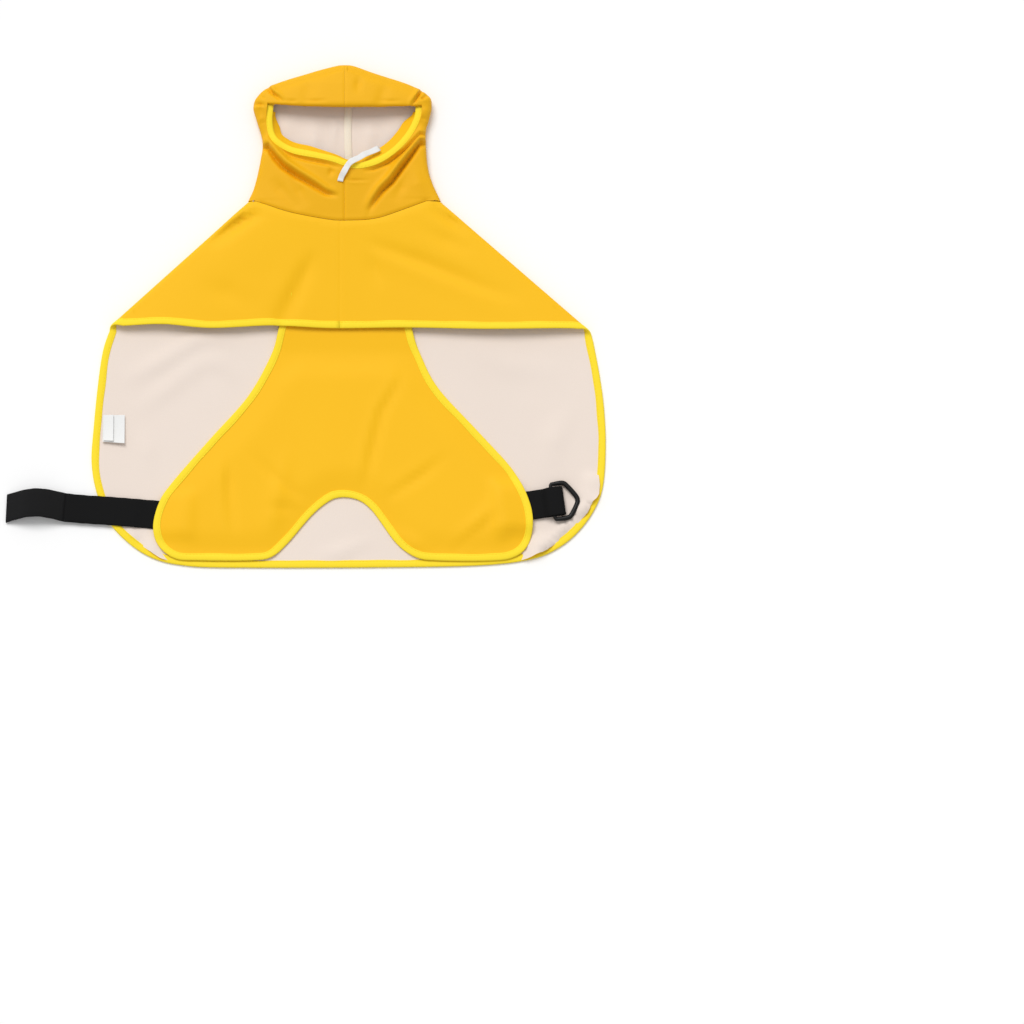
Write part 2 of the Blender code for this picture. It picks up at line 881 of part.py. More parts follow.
def make_hood_binding():
    shown = opening_line()
    hidden = smooth_through((FACE_OPENING[-1], *HIDDEN_EDGE, FACE_OPENING[0]), EDGE_STEP)[1:-1]
    line = np.vstack([shown, hidden])
    out = normals_of(line, True)
    half = BINDING_WIDTH / 2 - 0.6
    inward = half + SEAM_GAP + HEM_EASE
    path = []
    across = []
    for k, ((x, y), normal) in enumerate(zip(line, out)):
        if k < len(shown):
            climb = (y - CORNER_DIP_FROM_Y) / CORNER_DIP_REACH
            dip = CORNER_DIP * max(0.0, min(1.0, climb))
            height = front_height(x, y) - CLOTH - dip
        else:
            edge = front_height(x, BRIM_FRONT_Y) - 2 * brim_roll(x)
            height = edge - BINDING_THICK / 2 - CLOTH
        path.append((x - normal[0] * inward, y - normal[1] * inward, height))
        across.append((normal[0], normal[1], 0))
    bm = bmesh.new()
    sweep(bm, path, across, half, BINDING_THICK / 2, True)
    return finish("hood_binding", bm, binding_tape())


def strip_along(name, route, width, thick, made_of):
    """A flat strap along a route of undersides."""
    line = smooth_through(route, SEAM_STEP)
    across = []
    for k in range(len(line)):
        run = line[min(k + 1, len(line) - 1)] - line[max(k - 1, 0)]
        normal = np.array([-run[1], run[0], 0]) / np.hypot(run[0], run[1])
        across.append(normal)
    bm = bmesh.new()
    left = [bm.verts.new(p + n * width / 2) for p, n in zip(line, across)]
    edges = [bm.edges.new(pair) for pair in zip(left, left[1:])]
    made = bmesh.ops.extrude_edge_only(bm, edges=edges)["geom"]
    moved = [part for part in made if isinstance(part, bmesh.types.BMVert)]
    for vert in moved:
        joined = [edge.other_vert(vert) for edge in vert.link_edges]
        k = next(left.index(other) for other in joined if other in left)
        vert.co = line[k] - across[k] * width / 2
    bmesh.ops.recalc_face_normals(bm, faces=bm.faces)
    face_down(bm)
    return finish(name, bm, made_of, thick)


# ---------------------------------------------------------------- belly panel and small pieces


def make_belly():
    line = smooth_through(BELLY_EDGE, SEAM_STEP)
    panel_edge = inset(line, BINDING_WIDTH + SEAM_GAP)
    bm = bmesh.new()
    for vert in add_cut(bm, panel_edge, grid_cuts(panel_edge, CAPE_GRID) + belly_cuts()):
        vert.co.z = belly_base(vert.co.x, vert.co.y)
    bmesh.ops.reverse_faces(bm, faces=bm.faces)
    finish("belly_panel", bm, outer_cloth(), CLOTH)
    bm = bmesh.new()
    add_ribbon(bm, line, inset(line, BINDING_WIDTH), False)
    divide(bm, belly_cuts())
    for vert in bm.verts:
        vert.co.z = belly_base(vert.co.x, vert.co.y)
    bmesh.ops.recalc_face_normals(bm, faces=bm.faces)
    face_down(bm)
    finish("belly_binding", bm, binding_tape(), BINDING_THICK)


def belly_cuts():
    """Lines that divide the panel where it rises over the webbing and up to the chest."""
    cuts = [((0, y), (0, 1)) for y in (BELLY_RISE_Y, (BELLY_RISE_Y + BELLY_TOP_Y) / 2)]
    for end_x, middle_y, half, slope in BELLY_OVER.values():
        foot_x = end_x - slope * np.sign(end_x)
        cuts += [((x, 0), (1, 0)) for x in (end_x, foot_x)]
        for reach in (half, half + slope):
            cuts += [((0, y), (0, 1)) for y in (middle_y - reach, middle_y + reach)]
    return cuts


def tab_frame():
    along = np.array([math.cos(TAB_ANGLE), math.sin(TAB_ANGLE)])
    return np.array(TAB_ROOT, float), along, np.array([-along[1], along[0]])


def bar_place():
    """Centre of the ring's bar: X and Y, height, and the radius of the loop round it."""
    root, along, _ = tab_frame()
    centre = root + along * BAR_RUN
    loop = RING_BAR / 2 + TAB_CLEARANCE
    height = CLOTH + SEAM_GAP + WEBBING_THICK + loop
    return centre, height, loop


def make_tab():
    root, along, side = tab_frame()
    _, height, loop = bar_place()
    low = CLOTH + SEAM_GAP + WEBBING_THICK / 2
    top = low + WEBBING_THICK + SEW_GAP
    # Side view of the doubled webbing's middle line, (run, height): root, loop and back.
    inner = loop + WEBBING_THICK / 2
    profile = [(0, low), (TAB_FLAT_RUN, low), (TAB_LENGTH, low)]
    for k in range(1, TAB_LOOP_STEPS + 1):
        angle = -math.pi / 2 + math.pi * k / TAB_LOOP_STEPS
        profile.append((TAB_LENGTH + inner * math.cos(angle), height + inner * math.sin(angle)))
    profile += [(BAR_RUN - BAR_ROOM, height + inner), (TAB_FLAT_RUN, top), (0, top)]
    bm = bmesh.new()
    verts = []
    for run, z in profile:
        x, y = root + along * run - side * WEBBING_WIDTH / 2
        verts.append(bm.verts.new((x, y, z)))
    edges = [bm.edges.new(pair) for pair in zip(verts, verts[1:])]
    made = bmesh.ops.extrude_edge_only(bm, edges=edges)["geom"]
    moved = [part for part in made if isinstance(part, bmesh.types.BMVert)]
    shift = side * WEBBING_WIDTH
    bmesh.ops.translate(bm, verts=moved, vec=(shift[0], shift[1], 0))
    bmesh.ops.recalc_face_normals(bm, faces=bm.faces)
    tab = finish("tab_webbing", bm, black_webbing(), WEBBING_THICK)
    tab.modifiers[0].offset = 0
    return tab


def make_ring():
    """A triangular ring, turned about its bar, which lies in the loop of the tab."""
    _, along, side = tab_frame()
    centre, height, _ = bar_place()
    path = []
    for run, place in RING_OUTLINE:
        x, y = centre + along * run * math.cos(RING_TILT) + side * place
        path.append((x, y, height - run * math.sin(RING_TILT)))
    path.append((*centre, height))
    bm = bmesh.new()
    across = []
    for k in range(len(path)):
        run = Vector(path[(k + 1) % len(path)]) - Vector(path[k - 1])
        across.append(Vector((0, 0, 1)).cross(run.normalized()))
    sweep(bm, path, across, RING_BAR / 2, RING_BAR / 2, True, square=0)
    return finish("ring", bm, black_plastic())


def flat_patch(name, corners, level, made_of):
    bm = bmesh.new()
    for vert in add_cut(bm, corners, []):
        vert.co.z = level
    bmesh.ops.reverse_faces(bm, faces=bm.faces)
    return finish(name, bm, made_of, LABEL_THICK)


def make_labels():
    """Two bare leaves, sewn in at the hem: a wide one and a narrow one on it."""
    width, height = LABEL_SIZE
    x, y = LABEL_CORNER
    level = CLOTH + SEAM_GAP
    wide = [(x, y), (x + width, y - LABEL_SKEW), (x + width, y + height), (x, y + height)]
    left = x + LABEL_INSET
    right = x + LABEL_LEAF
    top = y + height - LABEL_INSET
    narrow = [(left, y + LABEL_INSET), (right, y), (right, top), (left, top)]
    flat_patch("care_label_back", wide, level, white_tape())
    flat_patch("care_label_front", narrow, level + LABEL_THICK + SEAM_GAP, white_tape())


def make_seam_tape():
    """Tape over the back seam of the hood, on its inside."""
    x0, y0, x1, y1 = SEAM_TAPE_BOX
    corners = [(x0, y0), (x1, y0), (x1, y1), (x0, y1)]
    return flat_patch("hood_seam_tape", corners, CLOTH + SEAM_GAP, lining_tape())


def make_leash_flap():
    """The flap under the back, sewn into the back neck seam, with a round end."""
    corner = LEASH_FLAP_CORNER
    reach = LEASH_FLAP_HALF - corner
    top = BACK_NECK_Y - SEAM_GAP
    centre_y = BACK_NECK_Y - LEASH_FLAP_LENGTH + corner
    right = [(LEASH_FLAP_HALF, top)]
    for k in range(LEASH_FLAP_CORNER_STEPS + 1):
        angle = -math.pi / 2 * k / LEASH_FLAP_CORNER_STEPS
        right.append((reach + corner * math.cos(angle), centre_y + corner * math.sin(angle)))
    line = np.array([*[(-x, y) for x, y in right], *right[::-1]])
    line[:, 0] += LEASH_FLAP_X
    inner = inset(line, BINDING_WIDTH + SEAM_GAP)
    inner[0, 1] = top
    inner[-1, 1] = top
    bm = bmesh.new()
    add_cut(bm, inner, [])
    bmesh.ops.reverse_faces(bm, faces=bm.faces)
    finish("leash_flap", bm, outer_cloth(), CLOTH)
    edge = inset(line, BINDING_WIDTH)
    edge[0, 1] = top
    edge[-1, 1] = top
    bm = bmesh.new()
    add_ribbon(bm, line, edge, False)
    bmesh.ops.recalc_face_normals(bm, faces=bm.faces)
    face_down(bm)
    finish("leash_flap_binding", bm, binding_tape(), BINDING_THICK)


def main():
    for obj in list(bpy.data.objects):
        bpy.data.objects.remove(obj, do_unlink=True)
    make_cape()
    make_cape_binding()
    make_hood_half("hood_left", HOOD_SIDES[0])
    make_hood_half("hood_right", HOOD_SIDES[1])
    make_hood_binding()
    make_seam_tape()
    make_belly()
    strap = (WEBBING_WIDTH, WEBBING_THICK, black_webbing())
    strip_along("strap_webbing", STRAP_ROUTE, *strap)
    strip_along("strap_hook_end", STRAP_END_ROUTE, *strap)
    strip_along("neck_tape", NECK_TAPE_ROUTE, TAPE_WIDTH, LABEL_THICK, white_tape())
    make_tab()
    make_ring()
    make_labels()
    make_leash_flap()


main()
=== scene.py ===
"""Looks of a dog raincoat with a hood, laid flat on its back with the belly side up.

Tables and sizes are in millimetres and become metres when a piece is finished. Each cloth
piece keeps its place in the flat cut in an attribute, which its weave follows.
"""

import math

import bmesh
import bpy
import numpy as np
from mathutils import Matrix, Vector


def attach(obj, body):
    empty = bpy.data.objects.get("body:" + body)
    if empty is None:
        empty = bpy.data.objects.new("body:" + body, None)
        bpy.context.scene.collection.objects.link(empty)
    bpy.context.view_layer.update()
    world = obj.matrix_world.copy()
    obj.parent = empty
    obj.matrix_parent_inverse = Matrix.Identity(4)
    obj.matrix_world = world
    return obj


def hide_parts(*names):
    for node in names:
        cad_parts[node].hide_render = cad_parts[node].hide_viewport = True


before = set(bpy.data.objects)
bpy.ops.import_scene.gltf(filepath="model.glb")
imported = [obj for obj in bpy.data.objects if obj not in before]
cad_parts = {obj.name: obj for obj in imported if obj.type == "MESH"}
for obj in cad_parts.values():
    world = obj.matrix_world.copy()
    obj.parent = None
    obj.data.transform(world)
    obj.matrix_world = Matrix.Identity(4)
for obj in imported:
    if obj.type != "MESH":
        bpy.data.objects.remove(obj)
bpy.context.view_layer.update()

bl_info = {
    "name": "Dog raincoat looks",
    "version": (1, 0, 0),
    "blender": (4, 5, 0),
    "location": "3D View > Sidebar > Raincoat",
    "description": "Cloth, bindings, webbing and stage of a hooded dog raincoat",
    "category": "Object",
}

MM = 0.001
CUT = "cut"

# Cloth, tape and webbing
CLOTH = 1.2
BINDING_WIDTH = 7.6
BINDING_THICK = 2.2
CLOTH_INSET = BINDING_WIDTH - 1.2
WEBBING_WIDTH = 29.5
WEBBING_THICK = 1.6
SEAM_GAP = 0.3
SEW_GAP = 0.7
HOOD_SEAM_GAP = 0.08
CHEST_SEAM_HALF = 0.04
# Extra mesh lines beside the centre seams of the chest and the hood
CHEST_SEAM_LINES = (1.0, 2.6, 5.0)
HOOD_SEAM_LINES = (0.8, 1.6, 2.8, 4.4)
NECK_EASE = 0.35

# Mesh spacing
CAPE_GRID = 5.0
HOOD_GRID = 1.5
EDGE_STEP = 5.0
ROLL_STEPS = 8

# Folded sides of the cape, from the neck seam (upper) to the corner of the hem (lower)
FOLD_LEFT = {"upper": (-96, 120), "lower": (-240, -13)}
FOLD_RIGHT = {"upper": (95, 121), "lower": (253, -19)}

# Height of the upper layer's outer face, by station along Y: at the centre line,
# at MIDDLE of the way to the folded side, and at the folded side itself.
MIDDLE = 0.6
FRONT_SECTIONS = (
    # y, centre, middle, fold
    (-14, 8.0, 12.0, 9.0), (40, 10.0, 12.0, 10.0), (104, 13.0, 13.5, 11.0), (140, 17.0, 15.0, 11.0),
    (160, 19.0, 16.0, 12.0), (200, 20.0, 17.0, 12.5), (220, 22.0, 20.0, 15.5),
    (240, 19.0, 18.0, 15.0), (262, 14.0, 14.0, 14.0),
)

# Folded outline of the hood, from the neck seam up to the crown at the centre seam
HOOD_SIDE_LEFT = (
    # x, y
    (-98.4, 118.6), (-92, 134), (-86, 161), (-84, 181), (-90, 203), (-93.5, 217), (-89, 229),
    (-74, 240.5), (-37, 253), (-9, 260.8), (0, 261.6),
)
HOOD_SIDE_RIGHT = (
    # x, y
    (98.4, 118.6), (89, 140), (84.5, 159), (83, 190), (86, 203), (89, 217), (86, 229), (67, 240.5),
    (30.5, 253), (9, 260.8), (0, 261.6),
)

# Outer edge of the cape round its lower side, from the left fold to the right fold
CAPE_EDGE = (
    # x, y
    (-239.5, -16), (-246, -38), (-250.5, -71), (-254.5, -115), (-256.5, -154), (-250, -188),
    (-235, -220), (-201, -249), (-160, -260.5), (-90, -262.5), (50, -262), (140, -260),
    (191.5, -253.5), (221.5, -240), (243, -220), (258, -196), (264.5, -172), (266.5, -132),
    (264.5, -93), (260, -60), (253, -22),
)
# Lower edge of the chest, from the right fold to the left fold
CHEST_EDGE = (
    # x, y
    (238, -15.5), (222, -15.2), (147, -16.2), (63, -14.2), (-14, -14.6), (-72, -12.2),
    (-136, -15.2), (-184, -11.2), (-225, -12.5),
)
CHEST_SEAM_X = -4.5
FRONT_NECK_SEAM = (
    # x, y: from the right fold to the left fold
    (84, 118), (56, 107), (30, 99), (0, 97.5), (-17, 98.5), (-56, 106), (-85, 116),
)
BACK_NECK_Y = 116.0
SIDE_NECK_Y = 117.6
BACK_NECK = (
    # x on either side, y
    (45, BACK_NECK_Y),
    (84, BACK_NECK_Y + 1),
)

# Face opening: outer line of its binding, from its left end round the front of the neck
FACE_OPENING = (
    # x, y
    (-79, 221), (-80, 199), (-74.5, 181), (-57.5, 169), (-35, 163), (-12, 157.5), (-1, 153.5),
    (14, 150.5), (35, 156), (53.5, 168), (68.5, 186), (77.5, 205), (79, 219),
)
# The hidden rest of the opening's edge, turned in under the brim
HIDDEN_EDGE = (
    # x, y
    (66, 231), (36, 238), (0, 240), (-36, 238), (-66, 232),
)
BRIM_FRONT_Y = 218.5
BRIM_ROLL_CENTRE = 3.6
BRIM_ROLL_CORNER = 1.6
BRIM_TURN_IN = 13.0
BRIM_CORNER_TURN_IN = 2.0
OPENING_HALF = 79.0
CORNER_DIP = 3.5
CORNER_DIP_FROM_Y = 200.0
CORNER_DIP_REACH = 17.0

# Belly panel: it lies on the lining, rises over what is sewn under it and goes up to the
# chest between two stations along Y.
BELLY_RISE_Y = -36.0
BELLY_TOP_Y = 28.0
BELLY_OVER = {
    # x of the covered end, middle y, half the width, length of the slope
    "strap": (-158.0, -208.0, 18.0, 10.0),
    "tab": (159.0, -200.0, 19.0, 12.0),
}
HEM_REACH = 10.0
HEM_SLOPE = 8.0
BELLY_PUFF = 3.0
BELLY_PUFF_REACH = 34.0
# Outer edge: down the left side, along the bottom and up the right side
BELLY_EDGE = (
    # x, y
    (-60, BELLY_TOP_Y), (-67.5, -17), (-75, -43), (-98, -85), (-136, -129), (-172.5, -172),
    (-187, -194), (-193.5, -220), (-188, -240), (-171, -253.5), (-145, -255.5), (-93, -255.5),
    (-73, -252), (-57, -238), (-40, -217.5), (-30, -206.3), (-20, -197.5), (-10, -191.3),
    (0.5, -189.7), (11, -191.2), (19.5, -195), (28, -202.5), (36, -213), (54, -238), (73, -252),
    (93, -255.5), (143, -256), (171, -253), (186.5, -241), (192.5, -218), (188, -192), (171, -160),
    (135.5, -120), (96, -76), (78, -41), (70, -17), (62, BELLY_TOP_Y),
)

# Creases. Each is a line of stations; a trough is deep and a ridge has a negative depth.
# Its lip is a raised share beside it, to the right of the way, or to the left below 0.
# A station is x, y, depth, width.
NECK_CREASES = (
    # lip, stations
    (-0.6, ((-86, 188, 1.0, 2.0), (-78, 175, 3.6, 2.4), (-70, 163, 4.8, 2.9), (-62, 154, 5.0, 3.1),
        (-48, 144, 4.4, 3.2), (-33, 135, 3.4, 3.1), (-19, 126, 2.6, 2.7), (-6, 122.5, 0, 2.5))),
    (0.6, ((86, 193, 1.2, 1.9), (78, 181, 3.6, 2.3), (67, 165, 4.8, 2.6), (57, 151, 5.0, 2.8),
        (48, 138, 4.6, 3.0), (38, 128, 3.4, 3.0), (31, 118, 2.4, 2.9), (25, 107, 0.3, 3))),
    (0.0, ((-66, 171, 0.6, 1.7), (-56, 165.5, 1.8, 1.9), (-38, 160, 2.2, 2.0), (-20, 156, 2.0, 1.9),
        (-5, 152, 0.4, 1.7))),
    (0.4, ((87, 200, 1.2, 1.5), (76, 187, 2.2, 1.8), (62, 171, 2.6, 2.0), (45, 157.5, 2.4, 2.0),
        (30, 150.5, 1.6, 1.9), (18, 148, 0, 2))),
    (0.0, ((-75, 142, 0, 5), (-66, 131, 0.9, 6), (-50, 114, 0.5, 6))),
    (0.0, ((-58, 150, 0, 4), (-46, 128, 1.0, 5), (-38, 110, 0, 5))),
    (0.3, ((1, 139, 0, 1.2), (10, 138, 0.8, 1.4), (28, 138.6, 0, 1.3))),
    (0.0, ((-12, 154, 0, 2.4), (-13, 148, 1.4, 2.8), (-16, 141, 0, 2.6))),
    (0.0, ((62, 148, 0, 5), (58, 132, 0.9, 5), (50, 116, 0, 5))),
    (0.0, ((70, 156, 0, 6), (76, 136, -1.0, 7), (84, 120, 0, 7))),
)
BRIM_CREASES = (
    # lip, stations
    (-0.5, ((-88, 231, 1.0, 1.5), (-81, 233.5, 2.6, 1.6), (-75, 232, 3.0, 1.7),
        (-69, 227, 2.2, 1.8), (-63, 221, 0.3, 1.9))),
    (0.5, ((80, 236, 1.0, 1.4), (76, 230, 3.0, 1.7), (72, 223, 2.6, 1.8), (69, 218, 0.8, 1.8))),
    (0.3, ((-96, 221, 1.8, 1.5), (-89, 219, 2.6, 1.7), (-82, 217.5, 0.4, 1.7))),
    (0.3, ((-93, 228, 1.6, 1.3), (-88, 226, 2.2, 1.4), (-83, 225, 0.4, 1.4))),
    (-0.3, ((-90, 209, 0.9, 1.4), (-86, 203, 2.2, 1.6), (-84, 199, 0.4, 1.5))),
    (0.3, ((76, 224, 0.6, 1.2), (83, 224.6, 2.0, 1.3), (92, 226, 1.2, 1.3))),
    (0.3, ((88, 217, 0.8, 1.3), (84, 212, 2.1, 1.5), (80, 204, 0.5, 1.5))),
    (0.3, ((-44, 221.6, 0, 1.5), (-30, 220.6, 1.0, 1.6), (-14, 221.2, 0, 1.5))),
    (0.0, ((-64, 222.4, 0, 1.6), (-54, 221, 0.9, 1.6), (-46, 221.4, 0, 1.5))),
    (0.2, ((30, 221.8, 0, 1.5), (47, 220.7, 0.9, 1.6), (62, 221.4, 0, 1.6))),
    (0.0, ((15, 250, 0, 4), (14, 240, 1.2, 4), (13, 227, 0, 4))),
    (0.0, ((-30, 250, 0, 7), (-36, 236, 0.9, 8), (-40, 222, 0.6, 7))),
    (0.0, ((44, 244, 0, 6), (40, 232, 0.8, 6), (36, 219, 0.8, 6))),
)
CHEST_CREASES = (
    # lip, stations
    (0.3, ((-88, 106, 1.0, 4), (-104, 99, 3.4, 5), (-121, 87, 2.2, 7), (-142, 70, 0, 8))),
    (-0.2, ((92, 109, 0.6, 4), (108, 99, 1.6, 5), (128, 84, 0, 7))),
    (0.2, ((-30, 66, 0, 8), (-40, 45, 1.2, 9), (-52, 20, 1.5, 10), (-64, -4, 1.0, 10))),
    (0.2, ((18, 76, 0, 6), (45, 66, 1.0, 7), (74, 55, 1.5, 8), (110, 40, 1.3, 8), (140, 27, 1.0, 8),
        (185, 12, 0, 9))),
    (0.0, ((70, 95, 0, 6), (104, 76, 1.0, 7), (135, 62, 0, 8))),
    (0.0, ((22, 69, 0, 5), (30, 48, 0.8, 6), (38, 25, 0, 6))),
    (0.0, ((-150, 30, 0, 10), (-120, 22, 0.9, 11), (-88, 2, 0, 10))),
)
BELLY_CREASES = (
    # lip, stations
    (0.3, ((63, -55, 0, 4), (50, -80, 1.0, 4), (38, -101, 1.3, 4.5), (28, -143, 1.3, 5),
        (21, -180, 0.5, 5))),
    (0.2, ((108, -143, 0, 5), (77, -168, 1.1, 5), (47, -188, 0.6, 5))),
    (0.3, ((-118, -146, 0, 3.5), (-117, -175, 1.4, 4), (-115, -209, 0.9, 4.5), (-112, -233, 0, 5))),
    (0.2, ((-96, -143, 0, 5), (-69, -171, 1.0, 5), (-46, -190, 0.8, 5))),
    (0.0, ((-82, -201, 0, 4), (-62, -202, 1.0, 4.5), (-48, -203, 0.4, 4))),
    (0.4, ((158, -203, 0, 5), (135, -224, 1.3, 5), (113, -247, 0.8, 5))),
    (0.0, ((176, -212, 0, 6), (160, -230, -1.0, 6), (146, -248, 0, 6))),
    (0.0, ((-50, -46, 0, 9), (0, -44, 0.8, 10), (55, -48, 0, 9))),
)
BACK_RIDGES = (
    # lip, stations: the back lies on the surface, so it only rises
    (0, ((-228, -72, 0, 8), (-190, -50, -1.7, 9), (-150, -25, -1.9, 9), (-105, -18, 0, 9))),
    (0, ((-215, -104, 0, 9), (-185, -80, -1.1, 9), (-150, -52, -1.3, 10), (-112, -40, 0, 9))),
    (0, ((-208, -118, 0, 7), (-200, -140, -0.9, 8), (-196, -168, 0, 8))),
    (0, ((120, -30, 0, 12), (170, -52, -1.2, 14), (225, -60, 0, 12))),
    (0, ((232, -90, 0, 10), (214, -130, -1.3, 12), (212, -160, 0, 10))),
    (0, ((106, 109, 0, 4), (73, 99, -1.6, 5), (49, 85, -1.4, 5), (40, 52, 0, 5))),
    (0, ((-36, 90, 0, 4), (-70, 86, -1.2, 6), (-103, 80, 0, 6))),
    (0, ((159, -182, 0, 6), (140, -215, -1.2, 6), (118, -250, 0, 6))),
    (0, ((49, -222, 0, 6), (72, -238, -1.4, 7), (92, -250, 0, 6))),
    (0, ((35, -230, 0, 6), (0, -245, -1.2, 7), (-30, -252, 0, 6))),
    (0, ((-56, -135, 0, 7), (-68, -190, -1.3, 8), (-76, -240, 0, 7))),
    (0, ((-103, -72, 0, 8), (-124, -52, -1.0, 8), (-146, -32, 0, 8))),
    (-0.01, ((258, -184, 0, 3.5), (250, -194, -2.4, 3.8), (242, -204, -3.6, 4.2),
        (232, -214, -2.4, 3.6), (223, -224, -3.8, 4.2), (213, -233, -2.6, 3.8),
        (203, -240, -3.4, 4.0), (193, -247, -1.4, 3.5), (184, -251, 0, 3.5))),
    (0, ((-222, -222, 0, 3), (-214, -229, -2.0, 3), (-205, -236, 0, 3))),
)
HOOD_BACK_RIDGES = (
    # lip, stations
    (0, ((94, 203, 0, 3.5), (82, 198, -2.2, 4.5), (66, 191, 0, 5))),
    (0, ((-94, 203, 0, 3.5), (-82, 198, -2.2, 4.5), (-66, 191, 0, 5))),
    (0, ((-34, 150, 0, 6), (-31, 185, -1.8, 7), (-33, 215, 0, 7))),
    (0, ((-12, 168, 0, 3), (-10, 195, -1.2, 3.5), (-12, 212, 0, 3))),
    (0, ((22, 160, 0, 6), (26, 190, -1.6, 7), (24, 212, 0, 7))),
    (0, ((50, 185, 0, 8), (54, 205, -1.4, 8), (50, 222, 0, 8))),
    (0, ((-60, 180, 0, 7), (-58, 200, -1.2, 8), (-62, 216, 0, 7))),
)
# Where the lining rolls out over its binding: places on the tape's inner line, and how far
SPILLS = (
    # x, y, reach
    ((156, -252.5, 0), (165, -252.5, 3.5), (175, -251, 6.2), (187, -248.5, 5.4), (196, -244.5, 3.2),
        (204, -240, 2.2), (213, -235, 0.4), (222, -229, 0), (232, -219, 0), (240, -209.5, 0.6),
        (245, -202, 1.8), (249, -195, 0.4), (253.5, -187, 4.6), (257, -177, 3.2), (258.5, -165, 0)),
    ((-206, -238, 0), (-194, -244, 1.5), (-183, -248.5, 4.6), (-174, -250.5, 4.2),
        (-163, -253, 1.0), (-152, -254, 0)),
)
SPILL_REACH = 15.0
SPILL_RISE = 2.7
SPILL_ROLL = 1.6
SPILL_CLEAR = 2.5
SPILL_FLAT = 1.5
SPILL_FULL = 1.5
SEAM_DIP = 1.2
# Share of that dip at the centre seams
CHEST_DIP = 0.22
HOOD_DIP = 0.7
CROWN_DIP = 0.35
CROWN_FROM_Y = 200
NECK_DEPTH = 2.0
BRIM_DEPTH = 1.7
CHEST_DEPTH = 1.9
BELLY_DEPTH = 1.8
BELLY_RISE_POWER = 0.75
BACK_DEPTH = 1.5
SEAM_DIP_WIDTH = 1.35

# Webbing: middle line of the strap's underside, from under the belly panel to its free end
STRAP_ROUTE = (
    # x, y, z
    (-162, -210, 1.5), (-200, -207, 1.5), (-216, -205.8, 2.8), (-246, -203.5, 2.8),
    (-262, -202.5, 2.8), (-283.5, -200.6, 3.6),
)
STRAP_END_ROUTE = (
    # x, y, z
    (-283.2, -200.6, 3.6), (-297, -198.2, 8.0), (-309, -197, 11.0), (-321, -197.5, 10.5),
    (-333, -199.3, 5.5), (-342.5, -201.2, 0.6),
)
TAB_ROOT = (163, -202)
TAB_ANGLE = math.radians(8)
TAB_LENGTH = 57.9
TAB_FLAT_RUN = 38.0
BAR_RUN = 50.3
BAR_BEHIND = 2.5
RING_BAR = 3.8
RING_SWELL = 0.6
RING_SWELL_RUN = 10
RING_SIDES = 16
BAR_PLACES = (9, 0, -9)
RING_SPOT = (217, -194)
RING_CLEAR = 20.0
RING_SLOPE = 8.0
RING_TILT = math.radians(3.5)
TAB_CLEARANCE = 0.4
RING_OUTLINE = (
    # run from the bar, place along the bar: middle line of the moulded frame
    (0, -17.4), (3, -18.4), (12.5, -18.2), (17, -15.5), (23.5, -6), (25, -1.5), (23.8, 3.5),
    (17, 14), (12.5, 18.2), (3, 18.4), (0, 17.4),
)
NECK_TAPE_ROUTE = (
    # x, y, z of its underside
    (35.5, 172.5, 14.7), (23, 166, 18.4), (10, 158.5, 21.2), (2, 151, 21.5), (-2, 143, 18.6),
    (-4, 137, 17.4),
)
TAPE_WIDTH = 6.0
TAPE_THICK = 0.8
TAPE_SWAY = 0.55
TAPE_SWAY_RUN = 3.1
TAPE_WRINKLE = 0.75
TAPE_WRINKLE_RUN = 2.3
LABEL_SIZE = (22.5, 28.0)
LABEL_SKEW = 2.0
LABEL_LEAF = 11.0
LABEL_INSET = 1.0
LABEL_CURL = 2.2
LABEL_THICK = 0.35
LABEL_CORNER = (-245.5, -132.0)
SEAM_TAPE_BOX = (-0.4, 146.0, 7.2, 238.0)

LEASH_FLAP_X = 6.0
LEASH_FLAP_HALF = 36.0
LEASH_FLAP_LENGTH = 79.0
LEASH_FLAP_CORNER = 26.0
FLAP_LIFT = 2.8
FLAP_MARGIN = 6.0
FLAP_SKIRT = 22.0

# Section of the binding: share of its width from the folded edge, share of its half thickness
TAPE_SECTION = (
    # width, height
    (0.0, 0.0), (0.03, 0.55), (0.12, 0.88), (0.3, 1.0), (0.55, 0.98), (0.74, 0.84), (0.8, 0.62),
    (0.86, 0.78), (0.96, 0.66), (1.0, 0.0),
)
TAPE_WAVES = (
    # depth, run, start
    (0.22, 11.3, 0), (0.16, 5.9, 1.3),
)
STITCH_LINE = 0.8
# Height of the stitches in the binding, as a share of its thickness
STITCH_LOWER = 0.21
STITCH_UPPER = 0.79
STITCH_LENGTH = 2.7
STITCH_PITCH = 3.6
STITCH_THICK = 0.34


# ---------------------------------------------------------------- curves in the plane


def held(share):
    """A share kept between 0 and 1."""
    return max(0.0, min(1.0, share))


def eased(share):
    """A share that starts and ends softly."""
    return share * share * (3 - 2 * share)


def smooth_through(points, step, closed=False):
    """Points about every step along a Catmull-Rom curve through the points of a table."""
    table = np.array(points, float)
    if closed:
        padded = np.vstack([table[-1:], table, table[:2]])
    else:
        first = 2 * table[0] - table[1]
        last = 2 * table[-1] - table[-2]
        padded = np.vstack([first, table, last])
    line = []
    for a, b, c, d in zip(padded, padded[1:], padded[2:], padded[3:]):
        count = max(1, round(float(np.linalg.norm(c - b)) / step))
        for k in range(count):
            t = k / count
            bend = 2 * b + (c - a) * t
            bend = bend + (2 * a - 5 * b + 4 * c - d) * t**2
            bend = bend + (3 * b - a - 3 * c + d) * t**3
            line.append(bend / 2)
    if not closed:
        line.append(table[-1])
    return np.array(line)


